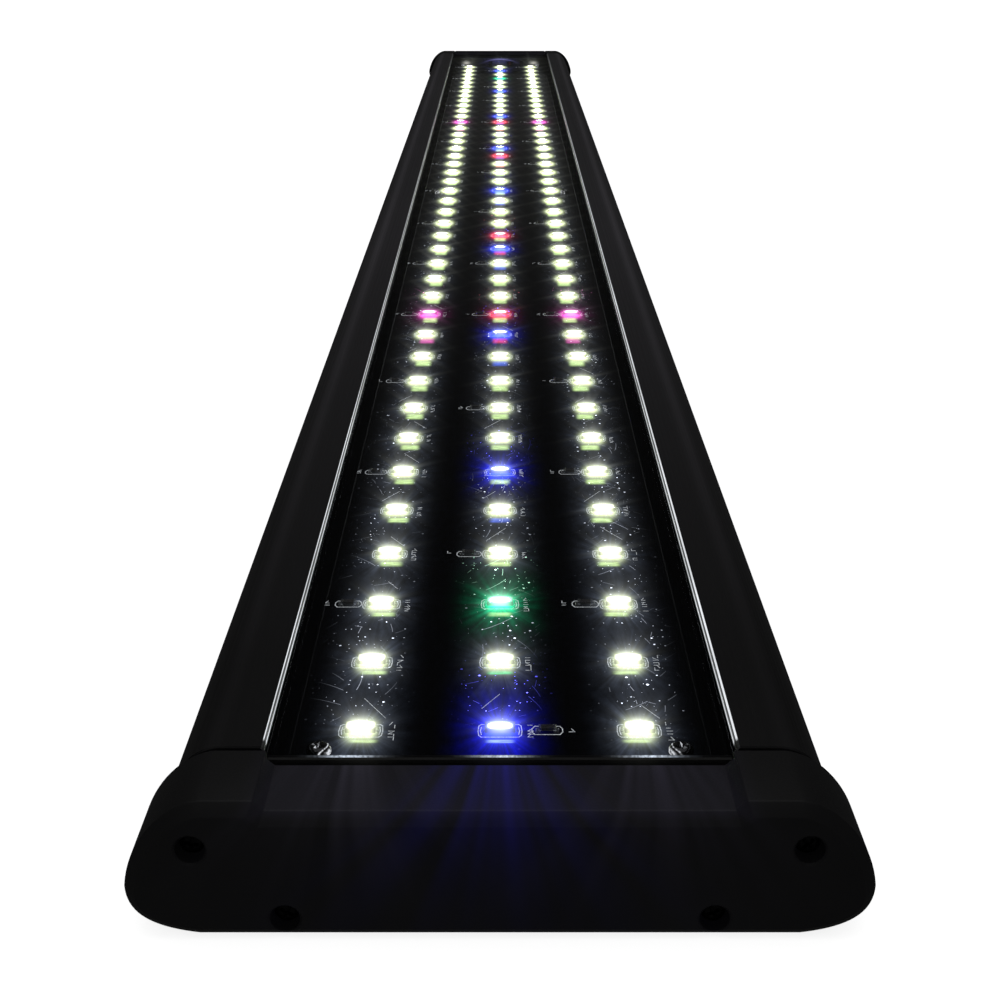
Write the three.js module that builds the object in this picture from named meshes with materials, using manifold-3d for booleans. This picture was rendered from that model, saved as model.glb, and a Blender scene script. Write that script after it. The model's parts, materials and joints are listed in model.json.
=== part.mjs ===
// An aquarium LED light bar, lying on its back with its emitters facing up.
// Millimetres. The origin is the middle of the back's lowest face, X runs across the bar, Y along it and
// Z out of the lit side. The far end, at +Y, carries the power inlet and the mode switch.
import * as THREE from "three";
import { mergeVertices } from "three/addons/utils/BufferGeometryUtils.js";
import Module from "manifold-3d";

const wasm = await Module();
wasm.setup();

// Overall section, shared by the end caps and, a little smaller, by the housing extrusion
const LENGTH = 1219;
const WIDTH = 119;
const HEIGHT = 24.2;
const WAIST_Z = 8.8; // height of the widest line of the rounded sides
const RIM_EDGE = 46.7; // half width where the flat rim turns into the shoulder
const BACK_EDGE = 48; // half width of the flat back
const GAP = 0.3; // clearance between neighbouring pieces
const CURVE_STEPS = 10;
const OVERCUT = 1; // cutters run this far past the faces that they open
const WELD = 0.5; // joined solids run this far into each other

// Pull of the side curves: where they leave the back, the widest line and the rim
const FOOT_PULL = [4, 1]; // in from the widest line, up from the back
const HEEL_RISE = 3.5; // up from the back, on the widest line
const FLANK_PULL = [0.9, 8.2]; // in from the widest line, up from it
const SHOULDER_PULL = [5.8, 0.6]; // out from the rim's edge, down from the rim

// Housing extrusion
const SIDE_STEP = 3; // the caps stand this far proud of its sides
const RIM_STEP = 0.3; // and this far proud of its rim
const BACK_STEP = 0.6; // and of its back
const SKIN = 2.2; // wall thickness of the rounded sides
const BACK_PLATE = 3;
const SLOT_HALF = 39; // half width of the window between the lips
const WEB_INNER = 43; // the webs stand between the middle channel and the side chambers
const WEB_OUTER = 45.3;
const BAY_HALF = 41.3; // half width of the bay that holds the board
const FLOOR_TOP = 12;
const FLOOR_THICKNESS = 2.2;
const LEDGE_Z = 18.7; // the seals lie on this ledge and carry the cover's edges
const LIP_UNDERSIDE = 22.3;
const LIP_CHAMFER = 0.5;
const PORT_RADIUS = 3.2; // screw ports that the end cap screws cut their thread in
const PORT_BORE = 1.5;
const RIB_PITCH = 5;
const RIB_COUNT = 15;
const GROOVE_WIDTH = 1.8;
const GROOVE_DEPTH = 1.1;

// End caps
const CAP_DEPTH = 18.1;
const CAP_CHAMFER = 2;
const CAP_SKIN = 2.4;
const PLATE_Z = 22.5; // the caps' middle plate lies below the two side rails
const PLATE_HALF = 36.7;
const STEP_RUN = 1.8; // horizontal run of the slope between plate and rail
const PLATE_THICKNESS = 2.2;
const BOSS_RADIUS = 3.4;
const BOSS_BORE = 1.6;
const RECESS_RADIUS = 2.4;
const RECESS_DEPTH = 4;
const CAP_SCREWS = [
  [-48.3, 16.4],
  [48.3, 16.4],
  [-34, 3.8],
  [34, 3.8],
];
const GASKET_THICKNESS = 0.8;
const GASKET_WIDTH = 1.6;
const GASKET_INSETS = [3.3, 2.1, 0.8]; // from the caps' sides, rim and back

// Board, pad, cover and seals
const BOARD_HALF = 41;
const BOARD_THICKNESS = 1.6;
const PAD_HALF = 39;
const PAD_THICKNESS = 0.5;
const COVER_HALF = 42.6;
const COVER_THICKNESS = 2;
const SEAL_INNER = 41.5;
const SEAL_THICKNESS = 0.7;
const PAD_END = 2; // how far the pad, the board and the cover stop short of the housing's ends
const BOARD_END = 0.6;
const COVER_END = 0.4;

// Emitters and resistors
const ROW_LENGTH = 42;
const LED_PITCH = 27.68;
const ROW_SPACING = 25;
const LED_SIZE = [5.7, 3, 0.8];
const RESISTOR_SIZE = [3.2, 1.6, 0.6];
const RESISTOR_OFFSET = -7; // across the bar, from its emitter
const FIRST_RESISTOR_OFFSET = 8.5; // the middle row's first resistor lies on the other side
const SIDE_RESISTORS = { count: 14, first: 2, every: 3 }; // at every third emitter of a side row
const MIDDLE_RESISTORS = { count: 11, first: 3, every: 11 / 3 }; // three to every eleven emitters
const RESISTOR_TRACE = -3.7; // the trace that serves a row's resistors, from its emitters
const TRACE_HEIGHT = 0.1;
const TRACE_WIDTH = 0.8;

// Fasteners
const SCREW_SHANK = 1.2;
const SCREW_TIP = [0.6, 1.2]; // share of the shank's radius, length of the taper
const HEAD_CROWN = [0.65, 0.5]; // shares of the head's radius and height where its edge is bevelled
const CAP_SCREW_HEAD = [2.1, 1.6]; // radius, height
const CAP_SCREW_SHANK_LENGTH = 25;
const BOARD_SCREW_HEAD = [2.2, 1.5];
const BOARD_SCREW_SHANK_LENGTH = 6;
const BOARD_SCREW_X = 31.7;
const BOARD_SCREW_Y = [-576, -22.4, 576];
const CROSS_SIZE = [2.4, 0.6, 0.8]; // length, width and depth of the driver recess

// Inlet and switch, in a recess of the far cap's outer face
const PANEL_HALF = 25;
const PANEL_Z = [5, 19];
const PANEL_DEPTH = 3;
const PANEL_SKIN = 2.2;
const DEVICE_Z = 12;
const JACK_X = -13;
const JACK_FLANGE = [5.6, 1.6]; // radius, height
const JACK_BARREL_RADIUS = 4;
const JACK_SOCKET_RADIUS = 2.9;
const JACK_LENGTH = 9.5;
const JACK_CHAMFER = 0.5;
const JACK_FLOOR = 2; // thickness behind the socket
const JACK_LUG = [0.6, 2.4, 3]; // thickness, height, length behind the inlet
const JACK_NUT = [6, 2]; // across the corners / 2, height
const JACK_PIN_RADIUS = 1;
const SWITCH_X = 13;
const BEZEL_SIZE = [16, 11, 1.2];
const SWITCH_CAN = [13.6, 8.6, 9.4];
const SWITCH_WELL = [12.4, 6.8, 7.6];
const ROCKER_HALF_LENGTH = 5;
const ROCKER_CROWN = 2.9; // height of the rocker's ends above its pivot
const ROCKER_DIP = 2;
const ROCKER_FOOT = -2.5;
const ROCKER_WIDTH = 6.2;
const PIVOT_INSET = 0.2; // the rocker's crown stays this far behind the cap's outer face
const PIVOT_RADIUS = 0.9;
const PIVOT_HOLE = 1;
const PIVOT_SKIN = 0.3; // wall left outside the pivot holes
const PIVOT_PIN = 0.5; // how far the rocker's pins reach past the well's walls
const TERMINAL_SIZE = [0.6, 3.4, 3];
const TERMINAL_SPACING = 4;
const LEAD_RADIUS = 0.7;

// Levels and end planes worked out from the dimensions above
const END_Y = LENGTH / 2;
const SEAM_Y = END_Y - CAP_DEPTH;
const HOUSING_END = SEAM_Y - GASKET_THICKNESS - 2 * GAP;
const PAD_Z = FLOOR_TOP + GAP;
const BOARD_Z = PAD_Z + PAD_THICKNESS + GAP;
const BOARD_TOP = BOARD_Z + BOARD_THICKNESS;
const PARTS_Z = BOARD_TOP + GAP; // underside of what is soldered or screwed on the board
const SEAL_Z = LEDGE_Z + GAP;
const COVER_Z = SEAL_Z + SEAL_THICKNESS + GAP;
const PANEL_Y = END_Y - PANEL_DEPTH;
const DEVICE_Y = PANEL_Y + GAP; // back of the flange and of the switch bezel
const PIVOT_Y = END_Y - ROCKER_CROWN - PIVOT_INSET;

const finishes = {
  anodised: { color: 0x201f22, roughness: 0.45, metalness: 0.6 },
  moulded: { color: 0x1b1a1d, roughness: 0.5, metalness: 0 },
  rubber: { color: 0x0d0d0e, roughness: 0.9, metalness: 0 },
  clear: { color: 0xe8f0f2, roughness: 0.05, metalness: 0, opacity: 0.3, transparent: true },
  board: { color: 0x08090b, roughness: 0.25, metalness: 0 },
  pad: { color: 0x9aa3ad, roughness: 0.9, metalness: 0 },
  emitter: { color: 0xf4f6e0, roughness: 0.4, metalness: 0, emissive: 0xf4f6e0 },
  resistor: { color: 0x15161a, roughness: 0.4, metalness: 0.1 },
  steel: { color: 0xb8bcc2, roughness: 0.3, metalness: 1 },
  darkSteel: { color: 0x2a2a2c, roughness: 0.4, metalness: 0.9 },
  nickel: { color: 0xc9c6bd, roughness: 0.25, metalness: 1 },
  switchPlastic: { color: 0x111113, roughness: 0.35, metalness: 0 },
  redLead: { color: 0xa11a1a, roughness: 0.5, metalness: 0 },
  blackLead: { color: 0x141414, roughness: 0.5, metalness: 0 },
};
const materials = {};
for (const [name, look] of Object.entries(finishes)) {
  materials[name] = new THREE.MeshStandardMaterial(look);
}

// A closed three.js geometry as a manifold-3d solid, and back.
function solid(geometry) {
  const loose = geometry.index ? geometry.toNonIndexed() : geometry;
  const bare = new THREE.BufferGeometry();
  bare.setAttribute("position", loose.getAttribute("position"));
  const merged = mergeVertices(bare, 1e-4);
  const vertProperties = merged.attributes.position.array;
  const triVerts = new Uint32Array(merged.index.array);
  return new wasm.Manifold(new wasm.Mesh({ numProp: 3, vertProperties, triVerts }));
}

function geometryOf(body) {
  const mesh = body.getMesh();
  const geometry = new THREE.BufferGeometry();
  geometry.setAttribute("position", new THREE.BufferAttribute(mesh.vertProperties, 3));
  geometry.setIndex(new THREE.BufferAttribute(mesh.triVerts, 1));
  geometry.computeVertexNormals();
  return geometry;
}

// A box between two corners.
function block(low, high) {
  const size = high.map((value, axis) => value - low[axis]);
  const middle = high.map((value, axis) => (value + low[axis]) / 2);
  return solid(new THREE.BoxGeometry(...size).translate(...middle));
}

// A section drawn in X and Z, run along Y. Bevel options may thin its two ends.
function alongY(section, from, to, bevel = { bevelEnabled: false }) {
  const depth = to - from - 2 * (bevel.bevelThickness ?? 0);
  const options = { depth, curveSegments: CURVE_STEPS, ...bevel };
  const geometry = new THREE.ExtrudeGeometry(section, options);
  return solid(geometry.rotateX(Math.PI / 2).translate(0, (to + from + depth) / 2, 0));
}

// A round bar along Y or along Z.
function barY(radius, x, z, from, to, sides = 16) {
  const bar = new THREE.CylinderGeometry(radius, radius, to - from, sides);
  return solid(bar.translate(x, (from + to) / 2, z));
}

function barZ(radius, x, y, from, to, sides = 16) {
  const bar = new THREE.CylinderGeometry(radius, radius, to - from, sides).rotateX(Math.PI / 2);
  return solid(bar.translate(x, y, (from + to) / 2));
}

// The outer section: flat back, full round sides and rim. Each inset moves one kind of face inwards, and
// rimPoints, from right to left, shape the rim between its two edges.
function outerSection(sideInset, rimInset, backInset, rimPoints = []) {
  const half = WIDTH / 2 - sideInset;
  const top = HEIGHT - rimInset;
  const foot = [half - FOOT_PULL[0], backInset + FOOT_PULL[1]];
  const heel = [half, backInset + HEEL_RISE];
  const flank = [half - FLANK_PULL[0], WAIST_Z + FLANK_PULL[1]];
  const shoulder = [RIM_EDGE + SHOULDER_PULL[0], top - SHOULDER_PULL[1]];
  const section = new THREE.Shape();
  section.moveTo(-BACK_EDGE, backInset);
  section.lineTo(BACK_EDGE, backInset);
  section.bezierCurveTo(...foot, ...heel, half, WAIST_Z);
  section.bezierCurveTo(...flank, ...shoulder, RIM_EDGE, top);
  for (const [x, z] of rimPoints) {
    section.lineTo(x, z);
  }
  section.lineTo(-RIM_EDGE, top);
  section.bezierCurveTo(-shoulder[0], shoulder[1], -flank[0], flank[1], -half, WAIST_Z);
  section.bezierCurveTo(-half, heel[1], -foot[0], foot[1], -BACK_EDGE, backInset);
  return section;
}

// The caps' section: the middle of the rim is lowered to a plate between two sloped steps.
function capSection() {
  const stepTop = PLATE_HALF + STEP_RUN;
  return outerSection(0, 0, 0, [
    [stepTop, HEIGHT],
    [PLATE_HALF, PLATE_Z],
    [-PLATE_HALF, PLATE_Z],
    [-stepTop, HEIGHT],
  ]);
}

// The channel that is open to the lit side: board bay, cover grooves and the window between the lips.
function channelSection() {
  const lipTop = HEIGHT - RIM_STEP;
  const half = [
    [BAY_HALF, FLOOR_TOP],
    [BAY_HALF, LEDGE_Z],
    [WEB_INNER, LEDGE_Z],
    [WEB_INNER, LIP_UNDERSIDE],
    [SLOT_HALF, LIP_UNDERSIDE],
    [SLOT_HALF, lipTop - LIP_CHAMFER],
    [SLOT_HALF + 2 * LIP_CHAMFER, lipTop + LIP_CHAMFER],
  ];
  const mirrored = half.map(([x, z]) => [-x, z]).reverse();
  return new THREE.Shape([...half, ...mirrored].map(([x, z]) => new THREE.Vector2(x, z)));
}

function housingExtrusion() {
  const reach = HOUSING_END + OVERCUT;
  const backTop = BACK_STEP + BACK_PLATE;
  const outer = outerSection(SIDE_STEP, RIM_STEP, BACK_STEP);
  const inner = outerSection(SIDE_STEP + SKIN, RIM_STEP + SKIN, backTop);
  const middle = block([-WEB_OUTER, -2 * reach, 0], [WEB_OUTER, 2 * reach, HEIGHT]);
  const chamberTop = FLOOR_TOP - FLOOR_THICKNESS;
  let body = alongY(outer, -HOUSING_END, HOUSING_END)
    .subtract(alongY(inner, -reach, reach).subtract(middle))
    .subtract(alongY(channelSection(), -reach, reach))
    .subtract(block([-WEB_INNER, -reach, backTop], [WEB_INNER, reach, chamberTop]));
  for (const [x, z] of CAP_SCREWS) {
    body = body.add(barY(PORT_RADIUS, x, z, -HOUSING_END, HOUSING_END));
    body = body.subtract(barY(PORT_BORE, x, z, -reach, reach, 12));
  }
  for (let rib = 0; rib < RIB_COUNT; rib++) {
    const x = (rib - (RIB_COUNT - 1) / 2) * RIB_PITCH;
    const low = [x - GROOVE_WIDTH / 2, -reach, 0];
    body = body.subtract(block(low, [x + GROOVE_WIDTH / 2, reach, BACK_STEP + GROOVE_DEPTH]));
  }
  for (const [x, y] of boardScrewPlaces()) {
    body = body.subtract(barZ(SCREW_SHANK + GAP, x, y, chamberTop - OVERCUT, FLOOR_TOP + OVERCUT, 12));
  }
  return body;
}

// The panel of the far cap: a backing behind the outer face, a shallow recess in it, and openings for the
// inlet and the switch.
function withPanel(shell, faceInner) {
  const [low, high] = PANEL_Z;
  const [canWidth, canHeight] = SWITCH_CAN;
  const across = PANEL_HALF + PANEL_SKIN;
  const backing = block(
    [-across, PANEL_Y - PANEL_SKIN, low - PANEL_SKIN],
    [across, faceInner + WELD, high + PANEL_SKIN / 2],
  );
  const recess = block([-PANEL_HALF, PANEL_Y, low], [PANEL_HALF, END_Y + OVERCUT, high]);
  const switchHole = block(
    [SWITCH_X - canWidth / 2 - GAP, SEAM_Y, DEVICE_Z - canHeight / 2 - GAP],
    [SWITCH_X + canWidth / 2 + GAP, END_Y + OVERCUT, DEVICE_Z + canHeight / 2 + GAP],
  );
  return shell
    .add(backing)
    .subtract(recess)
    .subtract(barY(JACK_BARREL_RADIUS + GAP, JACK_X, DEVICE_Z, SEAM_Y, END_Y + OVERCUT, 24))
    .subtract(switchHole);
}

// An end cap at the far end, as a shell that is open towards the housing.
function endCap(hasPanel) {
  const bevel = {
    bevelThickness: CAP_CHAMFER,
    bevelSize: CAP_CHAMFER,
    bevelOffset: -CAP_CHAMFER,
    bevelSegments: 1,
  };
  const faceInner = END_Y - CAP_SKIN;
  const spare = SEAM_Y - 3 * CAP_CHAMFER; // the bevel at this end is cut off again
  const outer = alongY(capSection(), spare, END_Y, bevel)
    .subtract(block([-WIDTH, spare - OVERCUT, -OVERCUT], [WIDTH, SEAM_Y, HEIGHT + OVERCUT]));
  const pocket = outerSection(CAP_SKIN, HEIGHT - PLATE_Z + PLATE_THICKNESS, CAP_SKIN);
  let body = outer.subtract(alongY(pocket, SEAM_Y - OVERCUT, faceInner));
  if (hasPanel) {
    body = withPanel(body, faceInner);
  }
  for (const [x, z] of CAP_SCREWS) {
    body = body
      .add(barY(BOSS_RADIUS, x, z, SEAM_Y, faceInner + WELD))
      .subtract(barY(BOSS_BORE, x, z, SEAM_Y - OVERCUT, END_Y, 12))
      .subtract(barY(RECESS_RADIUS, x, z, END_Y - RECESS_DEPTH, END_Y + OVERCUT, 20));
  }
  return body.intersect(outer);
}

// A closed ring that follows the housing's outline at the seam.
function endGasket() {
  const low = SEAM_Y - GAP - GASKET_THICKNESS;
  const high = low + GASKET_THICKNESS;
  const ring = outerSection(...GASKET_INSETS);
  const middle = outerSection(...GASKET_INSETS.map((inset) => inset + GASKET_WIDTH));
  let body = alongY(ring, low, high).subtract(alongY(middle, low - OVERCUT, high + OVERCUT));
  for (const [x, z] of CAP_SCREWS) {
    body = body.subtract(barY(PORT_BORE + GAP, x, z, low - OVERCUT, high + OVERCUT, 12));
  }
  return body;
}

// A pan head screw standing on Z = 0 with its shank below and a cross recess on top.
function screw([headRadius, headHeight], shankLength) {
  const [tipShare, tipLength] = SCREW_TIP;
  const [crownShare, edgeShare] = HEAD_CROWN;
  const profile = [
    [0, -shankLength],
    [SCREW_SHANK * tipShare, -shankLength],
    [SCREW_SHANK, tipLength - shankLength],
    [SCREW_SHANK, 0],
    [headRadius, 0],
    [headRadius, headHeight * edgeShare],
    [headRadius * crownShare, headHeight],
    [0, headHeight],
  ];
  const points = profile.map(([radius, z]) => new THREE.Vector2(radius, z));
  const [length, width, depth] = CROSS_SIZE;
  const floor = headHeight - depth;
  return solid(new THREE.LatheGeometry(points, 10).rotateX(Math.PI / 2))
    .subtract(block([-length / 2, -width / 2, floor], [length / 2, width / 2, headHeight + OVERCUT]))
    .subtract(block([-width / 2, -length / 2, floor], [width / 2, length / 2, headHeight + OVERCUT]));
}

function boardScrewPlaces() {
  return BOARD_SCREW_Y.flatMap((y) => [-BOARD_SCREW_X, BOARD_SCREW_X].map((x) => [x, y]));
}

// A flat sheet under the window, with clearance holes where the board screws pass.
function drilledSheet(half, endClearance, low, high, holeRadius) {
  const reach = HOUSING_END - endClearance;
  let body = block([-half, -reach, low], [half, reach, high]);
  for (const [x, y] of boardScrewPlaces()) {
    body = body.subtract(barZ(holeRadius, x, y, low - OVERCUT, high + OVERCUT, 12));
  }
  return body;
}

function ledY(index) {
  return (index - (ROW_LENGTH - 1) / 2) * LED_PITCH;
}

// A row of emitters: a comb profile along the bar, run across it. The comb's thin back is their trace.
function ledRow(x) {
  const [width, length, height] = LED_SIZE;
  const end = ledY(ROW_LENGTH - 1) + length / 2;
  const comb = new THREE.Shape();
  comb.moveTo(-end, 0);
  comb.lineTo(end, 0);
  for (let index = ROW_LENGTH - 1; index >= 0; index--) {
    const y = ledY(index);
    comb.lineTo(y + length / 2, index === ROW_LENGTH - 1 ? height : TRACE_HEIGHT);
    comb.lineTo(y + length / 2, height);
    comb.lineTo(y - length / 2, height);
    comb.lineTo(y - length / 2, index === 0 ? 0 : TRACE_HEIGHT);
  }
  const options = { depth: width, bevelEnabled: false };
  const across = new THREE.ExtrudeGeometry(comb, options).rotateX(Math.PI / 2).rotateZ(Math.PI / 2);
  return solid(across.translate(x - width / 2, 0, PARTS_Z));
}

// A row of resistors, one at each y, joined by the copper trace that runs beside them along traceX.
function resistorsAt(x, traceX, ys) {
  const [width, length, height] = RESISTOR_SIZE;
  const half = TRACE_WIDTH / 2;
  const strip = (low, high) => block([...low, PARTS_Z], [...high, PARTS_Z + TRACE_HEIGHT]);
  let body = strip([traceX - half, ys[0] - half], [traceX + half, ys.at(-1) + half]);
  for (const y of ys) {
    const low = [x - width / 2, y - length / 2, PARTS_Z];
    body = body
      .add(block(low, [low[0] + width, low[1] + length, PARTS_Z + height]))
      .add(strip([x, y - half], [traceX, y + half]));
  }
  return body;
}

function resistorRow(row) {
  const { count, first, every } = row === 0 ? MIDDLE_RESISTORS : SIDE_RESISTORS;
  const places = Array.from({ length: count }, (_, index) => ledY(Math.ceil(first + every * index)));
  const x = row * ROW_SPACING;
  return resistorsAt(x + RESISTOR_OFFSET, x + RESISTOR_TRACE, places);
}

function firstResistor() {
  const [width, length, height] = RESISTOR_SIZE;
  const low = [FIRST_RESISTOR_OFFSET - width / 2, ledY(0) - length / 2, PARTS_Z];
  return block(low, [low[0] + width, low[1] + length, PARTS_Z + height]);
}

// A turned piece on the inlet's axis; its profile gives radius and distance from the cap's panel.
function turnedOnJack(profile, sides) {
  const points = profile.map(([radius, along]) => new THREE.Vector2(radius, along));
  return solid(new THREE.LatheGeometry(points, sides).translate(JACK_X, DEVICE_Y, DEVICE_Z));
}

function jackBody() {
  const [flangeRadius, flangeHeight] = JACK_FLANGE;
  return turnedOnJack(
    [
      [JACK_PIN_RADIUS + GAP, -JACK_LENGTH],
      [JACK_BARREL_RADIUS, -JACK_LENGTH],
      [JACK_BARREL_RADIUS, 0],
      [flangeRadius, 0],
      [flangeRadius, flangeHeight - JACK_CHAMFER],
      [flangeRadius - JACK_CHAMFER, flangeHeight],
      [JACK_SOCKET_RADIUS, flangeHeight],
      [JACK_SOCKET_RADIUS, JACK_FLOOR - JACK_LENGTH],
      [JACK_PIN_RADIUS + GAP, JACK_FLOOR - JACK_LENGTH],
      [JACK_PIN_RADIUS + GAP, -JACK_LENGTH],
    ],
    20,
  );
}

function jackNut() {
  const [radius, height] = JACK_NUT;
  const top = PANEL_Y - PANEL_SKIN - GAP;
  const hexagon = barY(radius, JACK_X, DEVICE_Z, top - height, top, 6);
  return hexagon.subtract(barY(JACK_BARREL_RADIUS + GAP, JACK_X, DEVICE_Z, 0, END_Y, 24));
}

// The centre contact: a round pin in the socket with a solder lug behind.
function jackPin() {
  const back = DEVICE_Y - JACK_LENGTH;
  const [thickness, height, length] = JACK_LUG;
  const pin = barY(JACK_PIN_RADIUS, JACK_X, DEVICE_Z, back - OVERCUT, DEVICE_Y - WELD, 12);
  const lug = block(
    [JACK_X - thickness / 2, back - length, DEVICE_Z - height / 2],
    [JACK_X + thickness / 2, back - WELD, DEVICE_Z + height / 2],
  );
  return pin.add(lug);
}

// The switch body: a bezel in front of the panel and an open well behind it, with two pivot holes.
function switchBody() {
  const [bezelWidth, bezelHeight, bezelDepth] = BEZEL_SIZE;
  const [canWidth, canHeight, canDepth] = SWITCH_CAN;
  const [wellWidth, wellHeight, wellDepth] = SWITCH_WELL;
  const front = DEVICE_Y + bezelDepth;
  const pivotReach = canHeight / 2 - PIVOT_SKIN;
  const centred = (width, height, from, to) =>
    block(
      [SWITCH_X - width / 2, from, DEVICE_Z - height / 2],
      [SWITCH_X + width / 2, to, DEVICE_Z + height / 2],
    );
  return centred(bezelWidth, bezelHeight, DEVICE_Y, front)
    .add(centred(canWidth, canHeight, DEVICE_Y - canDepth, front))
    .subtract(centred(wellWidth, wellHeight, DEVICE_Y - wellDepth, front + OVERCUT))
    .subtract(barZ(PIVOT_HOLE, SWITCH_X, PIVOT_Y, DEVICE_Z - pivotReach, DEVICE_Z + pivotReach));
}

// The rocker: a shallow V on top, round flanks centred on the pivot, and two pivot pins.
function rocker() {
  const flank = Math.hypot(ROCKER_HALF_LENGTH, ROCKER_CROWN);
  const crownAngle = Math.atan2(ROCKER_CROWN, ROCKER_HALF_LENGTH);
  const footAngle = Math.asin(ROCKER_FOOT / flank);
  const outline = new THREE.Shape();
  outline.moveTo(-ROCKER_HALF_LENGTH, ROCKER_CROWN);
  outline.absarc(0, 0, flank, Math.PI - crownAngle, Math.PI - footAngle, false);
  outline.absarc(0, 0, flank, footAngle, crownAngle, false);
  outline.lineTo(0, ROCKER_DIP);
  outline.closePath();
  const options = { depth: ROCKER_WIDTH, bevelEnabled: false, curveSegments: 5 };
  const wedge = new THREE.ExtrudeGeometry(outline, options);
  const pinReach = SWITCH_WELL[1] / 2 + PIVOT_PIN;
  return solid(wedge.translate(SWITCH_X, PIVOT_Y, DEVICE_Z - ROCKER_WIDTH / 2))
    .add(barZ(PIVOT_RADIUS, SWITCH_X, PIVOT_Y, DEVICE_Z - pinReach, DEVICE_Z + pinReach));
}

function terminal(index) {
  const x = SWITCH_X + index * TERMINAL_SPACING;
  const top = DEVICE_Y - SWITCH_CAN[2] - GAP;
  const [thickness, height, length] = TERMINAL_SIZE;
  return block(
    [x - thickness / 2, top - length, DEVICE_Z - height / 2],
    [x + thickness / 2, top, DEVICE_Z + height / 2],
  );
}

// An insulated lead along a smooth curve through a few points.
function lead(points) {
  const path = new THREE.CatmullRomCurve3(points.map((point) => new THREE.Vector3(...point)));
  const section = new THREE.Shape().absarc(0, 0, LEAD_RADIUS, 0, 2 * Math.PI, false);
  const options = { steps: 14, extrudePath: path, curveSegments: 3 };
  return solid(new THREE.ExtrudeGeometry(section, options));
}

const light = new THREE.Group();

function addPart(parent, name, body, finish) {
  const mesh = new THREE.Mesh(geometryOf(body), materials[finish]);
  mesh.name = name;
  parent.add(mesh);
  return mesh;
}

// Housing, window and board
addPart(light, "housing_extrusion", housingExtrusion(), "anodised");
addPart(
  light,
  "thermal_pad",
  drilledSheet(PAD_HALF, PAD_END, PAD_Z, PAD_Z + PAD_THICKNESS, SCREW_SHANK + 2 * GAP),
  "pad",
);
const board = drilledSheet(BOARD_HALF, BOARD_END, BOARD_Z, BOARD_TOP, SCREW_SHANK + GAP);
addPart(light, "led_board", board, "board");
const coverReach = HOUSING_END - COVER_END;
const cover = block(
  [-COVER_HALF, -coverReach, COVER_Z],
  [COVER_HALF, coverReach, COVER_Z + COVER_THICKNESS],
);
addPart(light, "clear_cover", cover, "clear");
for (const [side, sign] of [["left", -1], ["right", 1]]) {
  const [low, high] = [SEAL_INNER * sign, COVER_HALF * sign].sort((a, b) => a - b);
  const body = block([low, -coverReach, SEAL_Z], [high, coverReach, SEAL_Z + SEAL_THICKNESS]);
  addPart(light, `cover_seal_${side}`, body, "rubber");
}
for (const [side, row] of [["left", -1], ["centre", 0], ["right", 1]]) {
  addPart(light, `led_row_${side}`, ledRow(row * ROW_SPACING), "emitter");
  addPart(light, `resistor_row_${side}`, resistorRow(row), "resistor");
}
addPart(light, "resistor_first", firstResistor(), "resistor");
boardScrewPlaces().forEach(([x, y], index) => {
  const body = screw(BOARD_SCREW_HEAD, BOARD_SCREW_SHANK_LENGTH);
  addPart(light, `board_screw_${index + 1}`, body, "steel").position.set(x, y, PARTS_Z);
});

// Both ends, built at +Y; the near end is the same assembly turned half round
for (const [end, turn] of [["far", 0], ["near", Math.PI]]) {
  const group = new THREE.Group();
  group.rotation.z = turn;
  light.add(group);
  addPart(group, `end_cap_${end}`, endCap(end === "far"), "moulded");
  addPart(group, `end_gasket_${end}`, endGasket(), "rubber");
  CAP_SCREWS.forEach(([x, z], index) => {
    const body = screw(CAP_SCREW_HEAD, CAP_SCREW_SHANK_LENGTH);
    const mesh = addPart(group, `cap_screw_${end}_${index + 1}`, body, "darkSteel");
    mesh.rotation.x = -Math.PI / 2;
    mesh.position.set(x, END_Y - RECESS_DEPTH + GAP, z);
  });
}

// Power inlet and mode switch
addPart(light, "dc_jack_body", jackBody(), "switchPlastic");
addPart(light, "dc_jack_nut", jackNut(), "nickel");
addPart(light, "dc_jack_pin", jackPin(), "nickel");
addPart(light, "switch_body", switchBody(), "switchPlastic");
addPart(light, "switch_rocker", rocker(), "switchPlastic");
["day", "common", "moon"].forEach((name, index) => {
  addPart(light, `switch_terminal_${name}`, terminal(index - 1), "nickel");
});

// Leads inside the far cap: inlet to switch, inlet to board, and the two switched leads to the board
const lugY = DEVICE_Y - JACK_LENGTH - JACK_LUG[2];
const tabY = DEVICE_Y - SWITCH_CAN[2] - GAP - TERMINAL_SIZE[2];
const padEnd = HOUSING_END - 6;
const onBoard = PARTS_Z + LEAD_RADIUS;
const tabClear = LEAD_RADIUS + GAP + TERMINAL_SIZE[0] / 2;
addPart(
  light,
  "lead_supply",
  lead([
    [JACK_X + tabClear, lugY + 1.6, DEVICE_Z],
    [JACK_X + 4, lugY, DEVICE_Z - 2.5],
    [0, tabY, 7],
    [SWITCH_X - 4, tabY - 1.2, 8],
    [SWITCH_X - tabClear, tabY + 0.6, DEVICE_Z - 0.6],
  ]),
  "redLead",
);
addPart(
  light,
  "lead_return",
  lead([
    [JACK_X - tabClear, lugY + 1.6, DEVICE_Z],
    [JACK_X - 3, lugY, DEVICE_Z + 2],
    [-10, SEAM_Y + 0.5, onBoard + 0.6],
    [-8, HOUSING_END - 2, onBoard],
    [-8, padEnd, onBoard],
  ]),
  "blackLead",
);
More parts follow.
